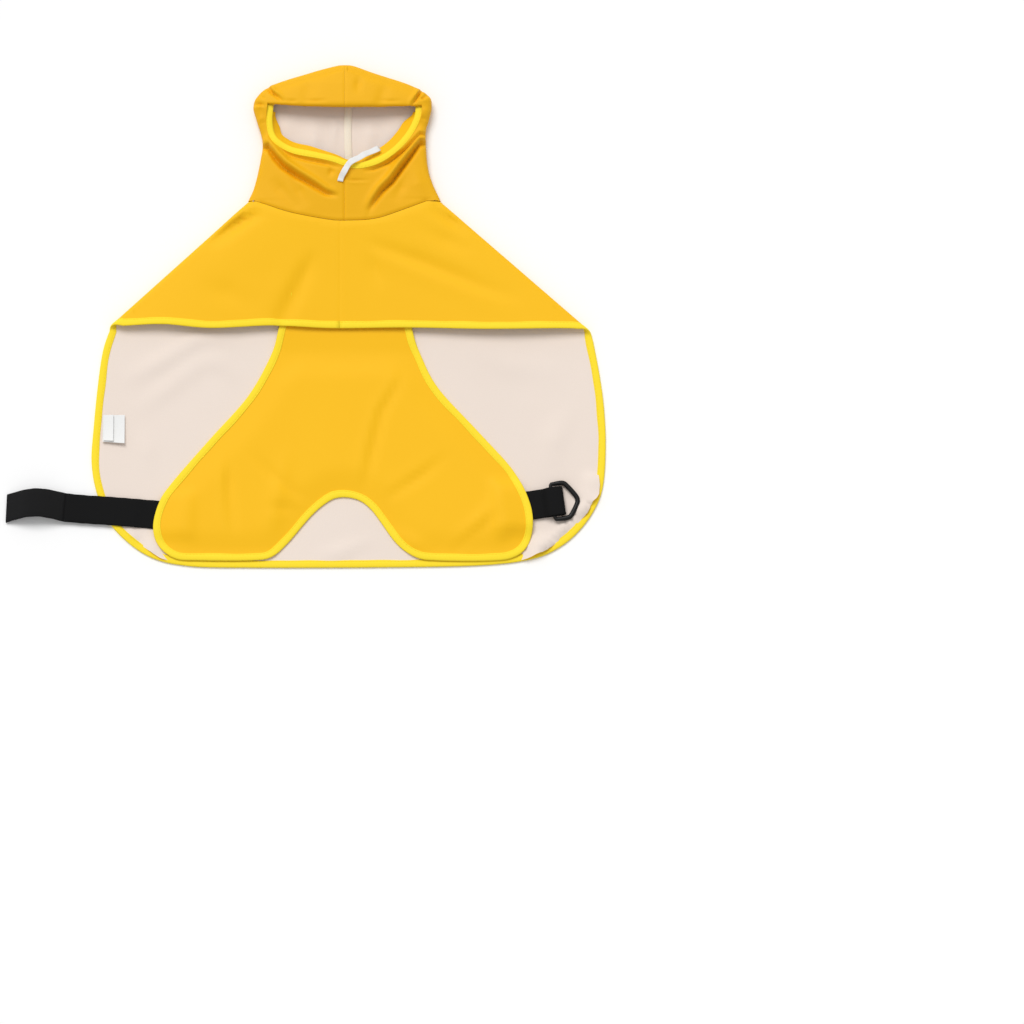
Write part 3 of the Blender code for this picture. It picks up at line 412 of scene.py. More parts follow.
def normals_of(line, closed=False):
    """Unit vectors in the plane, to the right of the way along a line."""
    if closed:
        run = np.roll(line, -1, axis=0) - np.roll(line, 1, axis=0)
    else:
        run = np.gradient(line, axis=0)
    run = run / np.linalg.norm(run, axis=1)[:, None]
    return np.column_stack([run[:, 1], -run[:, 0]])


def nearest_on(line, x, y):
    """(segment index, share along it, distance) of the point of a line nearest to x, y."""
    start = line[:-1]
    run = line[1:] - start
    away = np.array([x, y]) - start
    share = np.clip((away * run).sum(1) / (run**2).sum(1), 0, 1)
    gap = np.linalg.norm(away - run * share[:, None], axis=1)
    k = int(gap.argmin())
    return k, float(share[k]), float(gap[k])


def arc_lengths(line):
    return np.concatenate([[0], np.cumsum(np.linalg.norm(np.diff(line, axis=0), axis=1))])


def shoelace(outline):
    x, y = np.array(outline, float)[:, :2].T
    return abs(float(x @ np.roll(y, -1) - y @ np.roll(x, -1))) / 2


def ramp(beyond, reach):
    return max(0.0, min(1.0, 1 - beyond / reach))


def creased(creases, x, y):
    """Height that a table of creases adds at a point."""
    height = 0.0
    for lip, stations in creases:
        best = None
        for (x0, y0, d0, w0), (x1, y1, d1, w1) in zip(stations, stations[1:]):
            run_x = x1 - x0
            run_y = y1 - y0
            share = ((x - x0) * run_x + (y - y0) * run_y) / (run_x**2 + run_y**2)
            share = max(0.0, min(1.0, share))
            away_x = x - x0 - run_x * share
            away_y = y - y0 - run_y * share
            gap = math.hypot(away_x, away_y)
            if best is None or gap < best[0]:
                right = away_x * run_y - away_y * run_x > 0
                best = (gap, right, d0 + (d1 - d0) * share, w0 + (w1 - w0) * share)
        gap, right, depth, width = best
        if gap > 4.5 * width:
            continue
        signed = gap if right else -gap
        if lip and (signed > 0) == (lip > 0):
            # the lip's side is the steep one
            height -= depth * math.exp(-((signed / (0.6 * width)) ** 2))
        else:
            height -= depth * math.exp(-((signed / width) ** 2))
        if lip:
            beside = signed - math.copysign(1.5 * width, lip)
            height += abs(lip) * depth * math.exp(-((beside / (1.2 * width)) ** 2))
    return height


# ---------------------------------------------------------------- heights of the layers

STATIONS = np.array(FRONT_SECTIONS, float).T


def section_row(y):
    return [float(np.interp(y, STATIONS[0], column)) for column in STATIONS[1:]]


def fold_height(y):
    return float(np.interp(y, STATIONS[0], STATIONS[3]))


class Fold:
    """One straight folded side: the cloth lies flat inside it and turns up and over along it."""

    def __init__(self, upper, lower, side):
        self.upper = np.array(upper, float)
        run = np.array(lower, float) - self.upper
        self.length = float(np.linalg.norm(run))
        self.along = run / self.length
        self.out = np.array([self.along[1], -self.along[0]]) * -side
        self.side = side

    def radius(self, along):
        y = self.upper[1] + self.along[1] * along
        return fold_height(y) / 2

    def place(self, x, y):
        away = np.array([x, y]) - self.upper
        return float(away @ self.along), float(away @ self.out)

    def point(self, along, out):
        return self.upper + self.along * along + self.out * out

    def neck_points(self):
        """The neck edge round the roll, at one Y, in the flat cut: from below to above."""
        radius = self.radius(0)
        drop = self.upper[1] - SIDE_NECK_Y
        line = []
        for angle in np.linspace(0, math.pi, 9):
            along = (drop + self.out[1] * radius * (math.sin(angle) - 1)) / -self.along[1]
            line.append(self.point(along, radius * (angle - 1)))
        return line

    def unfold(self, x, y):
        """Where a point of the upper layer lies in the flat cut."""
        along, out = self.place(x, y)
        return self.point(along, (math.pi - 2) * self.radius(along) - out)

    def inner_x(self, y):
        """X of the flat layers' edge beside the fold, at one Y."""
        along = (y - self.upper[1]) / self.along[1]
        edge = self.point(along, -self.radius(along))
        return edge[0] + (y - edge[1]) * self.along[0] / self.along[1]


FOLDS = (
    Fold(FOLD_LEFT["upper"], FOLD_LEFT["lower"], -1),
    Fold(FOLD_RIGHT["upper"], FOLD_RIGHT["lower"], 1),
)


class HoodSide:
    """The folded outline of one half of the hood, with the line where its flat layers end."""

    def __init__(self, table, side):
        self.side = side
        self.outline = smooth_through(table, HOOD_GRID)
        self.outline[-1] = (0, table[-1][1])
        self.out = normals_of(self.outline) * side
        self.out[0] = (side, 0)
        self.out[-1] = (0, 1)
        self.radii = np.array([fold_height(y) / 2 for _, y in self.outline])
        self.inner = self.outline - self.out * self.radii[:, None]
        self.inner[-1, 0] = side * HOOD_SEAM_GAP / 2

    def roll_at(self, x, y):
        """Outward direction and radius of the roll at a point of the inner line."""
        k, share, _ = nearest_on(self.inner, x, y)
        out = self.out[k] * (1 - share) + self.out[k + 1] * share
        radius = self.radii[k] * (1 - share) + self.radii[k + 1] * share
        return out / np.linalg.norm(out), radius

    def inner_x(self, y):
        return float(np.interp(y, self.inner[:, 1], self.inner[:, 0]))


HOOD_SIDES = (HoodSide(HOOD_SIDE_LEFT, -1), HoodSide(HOOD_SIDE_RIGHT, 1))
HEM_LINE = smooth_through(CAPE_EDGE, EDGE_STEP)
BELLY_LINE = smooth_through(BELLY_EDGE, EDGE_STEP)
NECK_LINE = smooth_through(FRONT_NECK_SEAM, EDGE_STEP)


def half_width(x, y):
    """How far the flat upper layer reaches from the centre line, on the side of x."""
    k = int(x > 0)
    lowest = min(FOLD_LEFT["lower"][1], FOLD_RIGHT["lower"][1])
    if y > FOLDS[k].upper[1]:
        return abs(HOOD_SIDES[k].inner_x(y))
    return abs(FOLDS[k].inner_x(max(y, lowest)))


def neck_y(x):
    return float(np.interp(x, NECK_LINE[::-1, 0], NECK_LINE[::-1, 1]))


def seam_dip(x, y):
    """The cloth sinks to its seams: the neck seam, and the centre seams on either side of it."""
    gap = nearest_on(NECK_LINE, x, y)[2]
    if y < neck_y(x):
        centre, share = abs(x - CHEST_SEAM_X), CHEST_DIP
    else:
        centre, share = abs(x), CROWN_DIP if y > CROWN_FROM_Y else HOOD_DIP
    along = math.exp(-((gap / SEAM_DIP_WIDTH) ** 2))
    return SEAM_DIP * (along + share * math.exp(-((centre / SEAM_DIP_WIDTH) ** 2)))


def front_height(x, y, plain=False):
    """Height of the outer face of the upper layer: chest, neck front and brim."""
    centre, middle, fold = section_row(y)
    s = min(1.0, abs(x) / max(half_width(x, y), 1.0))
    cubic = (MIDDLE**2 * (fold - centre) - (middle - centre)) / (MIDDLE**2 - MIDDLE**3)
    square = fold - centre - cubic
    height = centre + square * s**2 + cubic * s**3
    if plain:
        return height
    if y > neck_y(x):
        neck, brim = creased(NECK_CREASES, x, y), creased(BRIM_CREASES, x, y)
        height += NECK_DEPTH * neck + BRIM_DEPTH * brim
    else:
        height += CHEST_DEPTH * creased(CHEST_CREASES, x, y)
    return height - seam_dip(x, y)


def ring_room(x, y):
    """0 under the ring, where the cloth stays flat, rising to 1 beside it."""
    gap = math.hypot(x - RING_SPOT[0], y - RING_SPOT[1]) - RING_CLEAR
    return held(gap / RING_SLOPE)


def back_lift(x, y):
    """The back rises over the leash flap and its binding, and in a few soft ridges."""
    beside = abs(x - LEASH_FLAP_X) - LEASH_FLAP_HALF - FLAP_MARGIN
    below = BACK_NECK_Y - LEASH_FLAP_LENGTH - FLAP_MARGIN - y
    above = y - BACK_NECK_Y - 2
    beyond = max(beside, below, above, 0)
    lift = FLAP_LIFT * max(0.0, 1 - beyond / FLAP_SKIRT)
    return lift + max(0.0, BACK_DEPTH * creased(BACK_RIDGES, x, y)) * ring_room(x, y)


def hood_back_lift(x, y):
    return back_lift(x, y) + max(0.0, creased(HOOD_BACK_RIDGES, x, y))


def covers(which, x, y):
    """1 over the webbing sewn under the belly panel, falling to 0 down the slope round it."""
    end_x, middle_y, half, slope = BELLY_OVER[which]
    beyond_end = (x - end_x) if end_x < 0 else (end_x - x)
    return ramp(max(beyond_end, abs(y - middle_y) - half), slope)


def spill(x, y):
    """How far the lining is pushed out and up at a point near its binding."""
    for table in SPILLS:
        line = np.array(table, float)
        k, share, gap = nearest_on(line[:, :2], x, y)
        reach = line[k, 2] * (1 - share) + line[k + 1, 2] * share
        near = ramp(gap - SPILL_FLAT, SPILL_REACH)
        if reach > 0 and near > 0:
            run = (line[k + 1] - line[k])[:2]
            out = np.array([run[1], -run[0]]) / np.linalg.norm(run)
            push = out * reach * near**2
            soft = eased(near)
            roll = SPILL_RISE * soft + SPILL_ROLL * 4 * near * (1 - near)
            rise = min(1.0, reach / SPILL_FULL) * roll
            # the belly panel holds it down
            k, _, beside = nearest_on(BELLY_LINE, x, y)
            run = BELLY_LINE[k + 1] - BELLY_LINE[k]
            away = (x, y) - BELLY_LINE[k]
            inside = run[0] * away[1] - run[1] * away[0] > 0
            rise *= 0.0 if inside else min(1.0, beside / SPILL_CLEAR)
            return float(push[0]), float(push[1]), rise
    return 0.0, 0.0, 0.0


def belly_base(x, y, puff=True):
    """Underside of the belly panel: on the lining, over the webbing, and up to the chest."""
    base = CLOTH + SEAM_GAP + back_lift(x, y)
    over_strap = (WEBBING_THICK + SEAM_GAP) * covers("strap", x, y)
    over_tab = (2 * WEBBING_THICK + SEW_GAP + SEAM_GAP) * covers("tab", x, y)
    chest = front_height(x, max(y, -12), True) - CLOTH - BINDING_THICK - SEAM_GAP
    share = (y - BELLY_RISE_Y) / (BELLY_TOP_Y - BELLY_RISE_Y)
    rise = (chest - base) * held(share) ** BELLY_RISE_POWER
    hem_gap = nearest_on(HEM_LINE, x, y)[2] - HEM_REACH
    over_hem = (BINDING_THICK - CLOTH) * ramp(hem_gap, HEM_SLOPE)
    height = base + max(over_strap, over_tab, over_hem, rise)
    if puff and y < BELLY_RISE_Y:
        inside = min(1.0, nearest_on(BELLY_LINE, x, y)[2] / BELLY_PUFF_REACH)
        inside *= min(1.0, (BELLY_RISE_Y - y) / BELLY_PUFF_REACH)
        puffed = BELLY_PUFF + BELLY_DEPTH * creased(BELLY_CREASES, x, y)
        height += max(0.0, eased(inside) * puffed)
    return height


# ---------------------------------------------------------------- cloth meshes


def new_cloth():
    bm = bmesh.new()
    bm.verts.layers.float_vector.new(CUT)
    return bm


def lay_cut(bm, outline, cuts):
    """A flat face cut to an outline and divided along straight lines. Gives its points."""
    face = bm.faces.new([bm.verts.new((x, y, 0)) for x, y in outline])
    face.normal_update()
    if face.normal.z < 0:
        face.normal_flip()
    geometry = [*face.verts, *face.edges, face]
    for point, across in cuts:
        geometry = bmesh.ops.bisect_plane(
            bm, geom=geometry, dist=0.2, plane_co=(*point, 0), plane_no=(*across, 0)
        )["geom"]
    cut = bm.verts.layers.float_vector[CUT]
    made = [part for part in geometry if isinstance(part, bmesh.types.BMVert)]
    for vert in made:
        vert[cut] = vert.co
    return made


def grid_cuts(outline, spacing):
    low = np.min(outline, axis=0)
    high = np.max(outline, axis=0)
    cuts = []
    for axis in (0, 1):
        count = max(1, round((high[axis] - low[axis]) / spacing))
        across = (1, 0) if axis == 0 else (0, 1)
        for k in range(1, count):
            place = low[axis] + (high[axis] - low[axis]) * k / count
            point = (place, 0) if axis == 0 else (0, place)
            cuts.append((point, across))
    return cuts


def roll_over(bm, edges, frame_of, steps):
    """Turns the cloth over along an edge, round a half circle. Gives the last row of edges."""
    cut = bm.verts.layers.float_vector[CUT]
    start = {vert for edge in edges for vert in edge.verts}
    frames = {vert: frame_of(vert) for vert in start}
    row = {vert: vert for vert in start}
    for k in range(1, steps + 1):
        angle = math.pi * k / steps
        made = bmesh.ops.extrude_edge_only(bm, edges=edges)["geom"]
        edges = [part for part in made if isinstance(part, bmesh.types.BMEdge)]
        fresh = {part for part in made if isinstance(part, bmesh.types.BMVert)}
        edges = [edge for edge in edges if edge.verts[0] in fresh and edge.verts[1] in fresh]
        following = {}
        for vert in fresh:
            old = next(e.other_vert(vert) for e in vert.link_edges if e.other_vert(vert) in row)
            origin = row[old]
            base, out, top, bottom, radius = frames[origin]
            reach = out * radius * math.sin(angle)
            height = (top + bottom) / 2 + (top - bottom) / 2 * math.cos(angle)
            vert.co = (base[0] + reach[0], base[1] + reach[1], height)
            spread = out * radius * angle
            vert[cut] = origin[cut] + Vector((spread[0], spread[1], 0))
            following[vert] = origin
        row = following
    return edges


def tape_ring(width, thick):
    """Points round the section of a binding: (across from its folded edge, up from underneath)."""
    above = [(u * width, (1 + h) * thick / 2) for u, h in TAPE_SECTION]
    below = [(u * width, (1 - h) * thick / 2) for u, h in TAPE_SECTION[1:-1]]
    return above + below[::-1]


def loft(bm, rings, closed):
    """Joins rings of vertices, given in order, and closes the two ends of an open run."""
    edges = []
    for ring in rings:
        made = [bm.edges.new(pair) for pair in zip(ring, [*ring[1:], ring[0]])]
        edges.append(made)
    pairs = list(zip(edges, edges[1:]))
    if closed:
        pairs.append((edges[-1], edges[0]))
    for first, second in pairs:
        bmesh.ops.bridge_loops(bm, edges=first + second)
    if not closed:
        for end in (edges[0], edges[-1]):
            bmesh.ops.holes_fill(bm, edges=end, sides=len(end))
    bmesh.ops.recalc_face_normals(bm, faces=bm.faces)


def bind(bm, line, lay, closed=False, width=BINDING_WIDTH):
    """Binding along an edge of the flat cut; lay(x, y, up) puts a point of it in its place."""
    cut = bm.verts.layers.float_vector[CUT]
    out = normals_of(line, closed)
    runs = arc_lengths(line)
    section = tape_ring(width, BINDING_THICK)
    rings = []
    for (x, y), normal, run in zip(line, out, runs):
        wave = sum(deep * math.sin(run / length + start) for deep, length, start in TAPE_WAVES)
        ring = []
        for k, (u, up) in enumerate(section):
            side = u + wave * (u / width)
            vert = bm.verts.new(lay(x - normal[0] * side, y - normal[1] * side, up))
            vert[cut] = (run, u if up > BINDING_THICK / 2 else -u, 0)
            ring.append(vert)
        rings.append(ring)
    loft(bm, rings, closed)


def stitch_rows(bm, line, lay, ups, closed=False, offset=STITCH_LINE * BINDING_WIDTH):
    """Stitches along an edge, at each height of ups over the cloth's outer face."""
    cut = bm.verts.layers.float_vector[CUT]
    out = normals_of(line, closed)
    row = line - out * offset
    runs = arc_lengths(row)
    count = int(runs[-1] / STITCH_PITCH)
    for k in range(count):
        middle = (k + 0.5) * STITCH_PITCH
        ends = []
        for run in (middle - STITCH_LENGTH / 2, middle + STITCH_LENGTH / 2):
            x = float(np.interp(run, runs, row[:, 0]))
            y = float(np.interp(run, runs, row[:, 1]))
            ends.append((x, y))
        for up in ups:
            first, last = (Vector(lay(x, y, up)) for x, y in ends)
            run = last - first
            if run.length < 0.1:
                continue
            turn = run.to_track_quat("X", "Z").to_matrix().to_4x4()
            size = Matrix.Diagonal((run.length / 2, STITCH_THICK, STITCH_THICK * 0.8, 1))
            spot = Matrix.Translation((first + last) / 2)
            made = bmesh.ops.create_icosphere(
                bm, subdivisions=1, radius=1, matrix=spot @ turn @ size
            )
            for vert in made["verts"]:
                vert[cut] = vert.co


def make_object(name, bm, finishes, wall=0.0):
    """Makes the object, in metres. A wall is laid on the side that the faces point away from."""
    cut = bm.verts.layers.float_vector[CUT]
    bmesh.ops.remove_doubles(bm, verts=bm.verts, dist=0.02)
    bmesh.ops.triangulate(bm, faces=[f for f in bm.faces if len(f.verts) > 4])
    if wall:
        for edge in bm.edges:
            if edge.is_boundary:
                edge.smooth = False
    for vert in bm.verts:
        vert[cut] = vert[cut] * MM
    bmesh.ops.scale(bm, vec=(MM, MM, MM), verts=bm.verts)
    mesh = bpy.data.meshes.new(name)
    bm.to_mesh(mesh)
    bm.free()
    for finish in finishes:
        mesh.materials.append(finish_of(finish))
    mesh.shade_smooth()
    obj = bpy.data.objects.new(name, mesh)
    bpy.context.scene.collection.objects.link(obj)
    if wall:
        solidify = obj.modifiers.new("cloth wall", "SOLIDIFY")
        solidify.thickness = wall * MM
        solidify.offset = -1
        solidify.material_offset = len(finishes) - 1
        solidify.material_offset_rim = 0
    return obj


def dress(obj, body, slot, *nodes):
    """Puts a piece on its body, in place of its solids. Its slot is not used."""
    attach(obj, body)
    if nodes:
        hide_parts(*nodes)
    return obj


def face_up(bm):
    """Turns the faces of a sheet the same way, upwards."""
    bmesh.ops.recalc_face_normals(bm, faces=bm.faces)
    bm.normal_update()
    if sum(face.normal.z for face in bm.faces) < 0:
        bmesh.ops.reverse_faces(bm, faces=bm.faces)


def bound_edge(bound, line, lay, ups, closed=False, width=BINDING_WIDTH):
    """The binding of a piece and its stitches, both named after it."""
    bm = new_cloth()
    bind(bm, line, lay, closed, width)
    binding = make_object(f"{bound}_binding", bm, ["binding"])
    dress(binding, "garment", "binding", f"{bound}_binding")
    bm = new_cloth()
    stitch_rows(bm, line, lay, ups, closed, STITCH_LINE * width)
    thread = make_object(f"{bound}_stitches", bm, ["thread"])
    dress(thread, "garment", "binding")
    return [binding, thread]


def inset(line, width):
    """A line moved to the left of its way along."""
    return line - normals_of(line) * width


# ---------------------------------------------------------------- finishes


class Wire:
    """A socket of a finish's nodes, so that shader maths reads as an expression."""

    def __init__(self, finish, socket):
        self.finish = finish
        self.socket = socket

    def out(self, name):
        """Another output of the same node."""
        return Wire(self.finish, self.socket.node.outputs[name])

    def maths(self, operation, first, second=0.0):
        return self.finish.node("ShaderNodeMath", {"operation": operation}, {0: first, 1: second})

    def __add__(self, other):
        return self.maths("ADD", self, other)

    def __sub__(self, other):
        return self.maths("SUBTRACT", self, other)

    def __rsub__(self, other):
        return self.maths("SUBTRACT", other, self)

    def __mul__(self, other):
        return self.maths("MULTIPLY", self, other)

    def sine(self):
        return self.maths("SINE", self)

    __radd__ = __add__
    __rmul__ = __mul__


class Finish:
    """A procedural material: its shader, and the nodes that feed it."""

    def __init__(self, name, **constants):
        self.material = bpy.data.materials.new(name)
        self.material.use_nodes = True
        self.tree = self.material.node_tree
        self.shader = self.tree.nodes["Principled BSDF"]
        self.give(**constants)

    def node(self, kind, settings=None, sockets=None, output=0):
        """Any node: its settings are set first, then the values or links of its sockets."""
        made = self.tree.nodes.new(kind)
        for name, value in (settings or {}).items():
            setattr(made, name, value)
        for name, value in (sockets or {}).items():
            self.feed(made.inputs[name], value)
        return Wire(self, made.outputs[output])

    def feed(self, socket, value):
        if isinstance(value, Wire):
            self.tree.links.new(value.socket, socket)
        else:
            socket.default_value = value

    def give(self, **values):
        for name, value in values.items():
            name = name.replace("_", " ").title().replace("Ior", "IOR")
            self.feed(self.shader.inputs[name], value)

    def blend(self, share, first, second):
        """A colour between two, by share."""
        settings = {"data_type": "RGBA"}
        return self.node("ShaderNodeMix", settings, {0: share, 6: first, 7: second}, 2)

    def place(self):
        """Where a point lies in the flat cut, in metres."""
        return self.node("ShaderNodeAttribute", {"attribute_name": CUT}, output="Vector")

    def noise(self, place, scale, detail=2.0):
        return self.node(
            "ShaderNodeTexNoise", None, {"Vector": place, "Scale": scale, "Detail": detail}
        )

    def bump(self, height, distance, strength=1.0):
        return self.node(
            "ShaderNodeBump", None, {"Strength": strength, "Distance": distance, "Height": height}
        )


def colour(value):
    return (*value, 1.0)


def woven(name, base, shade, pitch, roughness, relief):
    """Woven cloth: two sets of threads a pitch apart in millimetres, uneven in tone."""
    finish = Finish(name, specular_ior_level=0.22)
    place = finish.place()
    apart = finish.node("ShaderNodeSeparateXYZ", None, {0: place}, "X")
    turn = math.tau / (pitch * MM)
    warp = (apart * turn).sine()
    weft = (apart.out("Y") * turn).sine()
    threads = (warp * weft) * 0.5 + 0.5
    cloudy = finish.noise(place, 9.0, 3.0)
    slubs = finish.noise(place, 900.0, 2.0)
    tone = (cloudy - 0.5) * 0.5 + (slubs - 0.5) * 0.5 + threads * 0.18
    finish.give(
        base_color=finish.blend(tone + 0.2, colour(base), colour(shade)),
        roughness=roughness + slubs * 0.12,
        normal=finish.bump(threads + slubs * 0.8, relief * MM, 0.5),
    )
    return finish.material


def ribbed(name, base, shade, pitch, roughness, relief, slant=0.35):
    """Tape or webbing: slanting ribs across the run of the strip."""
    finish = Finish(name, specular_ior_level=0.15)
    place = finish.place()
    apart = finish.node("ShaderNodeSeparateXYZ", None, {0: place}, "X")
    ribs = ((apart + apart.out("Y") * slant) * (math.tau / (pitch * MM))).sine()
    slubs = finish.noise(place, 700.0, 2.0)
    tone = ribs * 0.2 + (slubs - 0.5) * 0.6 + 0.25
    finish.give(
        base_color=finish.blend(tone, colour(base), colour(shade)),
        roughness=roughness + slubs * 0.1,
        normal=finish.bump(ribs * 0.5 + slubs * 0.6, relief * MM, 0.6),
    )
    return finish.material


def moulded(name, base, roughness):
    """Moulded plastic: even colour with a faint grain and dulled patches."""
    finish = Finish(name, specular_ior_level=0.22)
    place = finish.node("ShaderNodeTexCoord", output="Object")
    grain = finish.noise(place, 1500.0, 2.0)
    patches = finish.noise(place, 120.0, 3.0)
    finish.give(
        base_color=finish.blend(patches * 0.5, colour(base), colour([c * 1.9 for c in base])),
        roughness=roughness + patches * 0.2,
        normal=finish.bump(grain, 0.02 * MM, 0.4),
    )
    return finish.material


FINISHES = {}
FINISH_TABLE = {
    # recipe, name of the material, its colours, then the recipe's numbers
    "outer": (woven, "golden_raincloth", ("outer", "outer_shade"), 0.55, 0.55, 0.05),
    # The hood's cloth is a darker copy of the outer cloth: painted shade for the shade its folds
    # and tilted faces get.
    "hood": (woven, "golden_raincloth_hood", ("hood", "hood_shade"), 0.55, 0.55, 0.05),
    "lining": (woven, "lining_side", ("lining", "lining_shade"), 0.7, 0.78, 0.05),
    "binding": (ribbed, "yellow_binding", ("binding", "binding_shade"), 1.1, 0.55, 0.08),
    "thread": (ribbed, "yellow_thread", ("binding_shade", "binding"), 0.5, 0.5, 0.05),
    "webbing": (ribbed, "black_webbing", ("webbing", "webbing_worn"), 1.7, 0.72, 0.25, 0.9),
    "hook": (ribbed, "black_hook_tape", ("webbing_worn", "webbing"), 0.9, 0.6, 0.3, 0.0),
    "ring": (moulded, "black_plastic", ("ring",), 0.3),
    "tape": (ribbed, "white_tape", ("tape", "tape_shade"), 0.8, 0.5, 0.05, 0.0),
    "seam_tape": (ribbed, "lining_tape", ("seam_tape", "lining_shade"), 1.2, 0.7, 0.08, 0.0),
}


def finish_of(name):
    """One of the coat's finishes, made when it is first asked for."""
    if name not in FINISHES:
        recipe, label, tones, *numbers = FINISH_TABLE[name]
        colours = bpy.context.scene.raincoat_colours
        FINISHES[name] = recipe(label, *(getattr(colours, tone) for tone in tones), *numbers)
    return FINISHES[name]


# ---------------------------------------------------------------- cape


def fold_cape(x, y, rise=0.0, proud=0.0):
    """A point of the flat cut, laid down and turned over its fold, at a depth from the outside."""
    fold = FOLDS[int(x > 0)]
    along, out = fold.place(x, y)
    radius = fold.radius(along)
    angle = (out + radius) / radius
    if angle <= 0:
        return x, y, back_lift(x, y) + rise
    rise -= proud * min(1.0, angle / math.pi)
    if angle < math.pi:
        reach = radius - rise
        px, py = fold.point(along, reach * math.sin(angle) - radius)
        over = (1 - math.cos(angle)) / 2
        lift = over * (front_height(px, py) - fold_height(py)) + (1 - over) * back_lift(px, py)
        return px, py, radius - reach * math.cos(angle) + lift
    px, py = fold.point(along, (math.pi - 2) * radius - out)
    return px, py, front_height(px, py) - rise


def roll_cuts():
    """Lines that divide the cloth round each fold."""
    cuts = []
    for fold in FOLDS:
        for k in range(ROLL_STEPS + 1):
            ends = []
            for along in (0, fold.length):
                radius = fold.radius(along)
                ends.append(fold.point(along, radius * (math.pi * k / ROLL_STEPS - 1)))
            run = ends[1] - ends[0]
            cuts.append((tuple(ends[0]), (run[1], -run[0])))
    return cuts


def cape_edge_line(step):
    """The bound edge in the flat cut: one run, open only at the centre front."""
    left, right = FOLDS
    chest = smooth_through(CHEST_EDGE, step)
    right_wing = [right.unfold(x, y) for x, y in chest if x > CHEST_SEAM_X + 4]
    left_wing = [left.unfold(x, y) for x, y in chest if x < CHEST_SEAM_X - 4]
    y_front = float(np.interp(-CHEST_SEAM_X, -chest[:, 0], chest[:, 1]))
    right_wing.append(right.unfold(CHEST_SEAM_X + CHEST_SEAM_HALF, y_front))
    left_wing.insert(0, left.unfold(CHEST_SEAM_X - CHEST_SEAM_HALF, y_front))
    lower = smooth_through(CAPE_EDGE, step)
    down = np.linspace(left_wing[-1], lower[0], ROLL_STEPS + 2)[1:-1]
    up = np.linspace(lower[-1], right_wing[0], ROLL_STEPS + 2)[1:-1]
    return np.array([*left_wing, *down, *lower, *up, *right_wing])


def cape_outline(edge):
    """Outline of the whole cape in the flat cut, from its lower edge round by the neck."""
    left, right = FOLDS
    neck = NECK_LINE
    y_front = float(np.interp(-CHEST_SEAM_X, -neck[:, 0], neck[:, 1]))
    neck_right = [right.unfold(x, y) for x, y in neck if x > CHEST_SEAM_X + 3]
    neck_left = [left.unfold(x, y) for x, y in neck if x < CHEST_SEAM_X - 3]
    back = [(x, y) for x, y in (*BACK_NECK[::-1], *[(-x, y) for x, y in BACK_NECK])]
    return [
        *edge,
        right.unfold(CHEST_SEAM_X + CHEST_SEAM_HALF, y_front),
        *neck_right[::-1],
        *right.neck_points()[::-1],
        *back,
        *left.neck_points(),
        *neck_left[::-1],
        left.unfold(CHEST_SEAM_X - CHEST_SEAM_HALF, y_front),
    ]


def flat_size(outline):
    """Width and length of a cut's box, and its area, in metres and square metres."""
    low = np.min(np.array(outline)[:, :2], axis=0)
    high = np.max(np.array(outline)[:, :2], axis=0)
    return tuple(float(side) * MM for side in high - low), shoelace(outline) * MM * MM


def make_cape():
    edge = cape_edge_line(EDGE_STEP)
    outline = cape_outline(inset(edge, CLOTH_INSET))
    bm = new_cloth()
    seams = []
    for fold in FOLDS:
        for beside in CHEST_SEAM_LINES:
            point = fold.unfold(CHEST_SEAM_X + fold.side * beside, 40)
            top = fold.unfold(CHEST_SEAM_X + fold.side * beside, 60)
            run = top - point
            seams.append((tuple(point), (run[1], -run[0])))
    cuts = grid_cuts(outline, sizes().cape_grid / MM) + roll_cuts() + seams
    for vert in lay_cut(bm, outline, cuts):
        push_x, push_y, rise = spill(vert.co.x, vert.co.y)
        vert.co = fold_cape(vert.co.x, vert.co.y)
        vert.co += Vector((push_x, push_y, rise))
    bmesh.ops.reverse_faces(bm, faces=bm.faces)
    cape = make_object("cape", bm, ["outer", "lining"], CLOTH)
    dress(cape, "garment", "outer_cloth", "cape")

    def lay(x, y, up):
        return fold_cape(x, y, up, 0.6)

    half = BINDING_THICK / 2
    bound = bound_edge("cape", edge, lay, (half * 0.42, half * 1.58))
    flat, area = flat_size(cape_outline(edge))


# ---------------------------------------------------------------- hood


def brim_line(side):
    """Front edge of the brim, from the corner of the face opening to the centre seam."""
    corner = np.array(FACE_OPENING[0] if side < 0 else FACE_OPENING[-1], float)
    rise = corner[1] - BRIM_FRONT_Y
    shares = np.linspace(1, 0.04, 34)
    return [(corner[0] * share, BRIM_FRONT_Y + rise * share**2) for share in shares]


def brim_roll(x):
    share = min(1.0, abs(x) / OPENING_HALF)
    return BRIM_ROLL_CENTRE + (BRIM_ROLL_CORNER - BRIM_ROLL_CENTRE) * share**2


def lies_on(vert, line):
    return nearest_on(line, vert.co.x, vert.co.y)[2] < 0.05


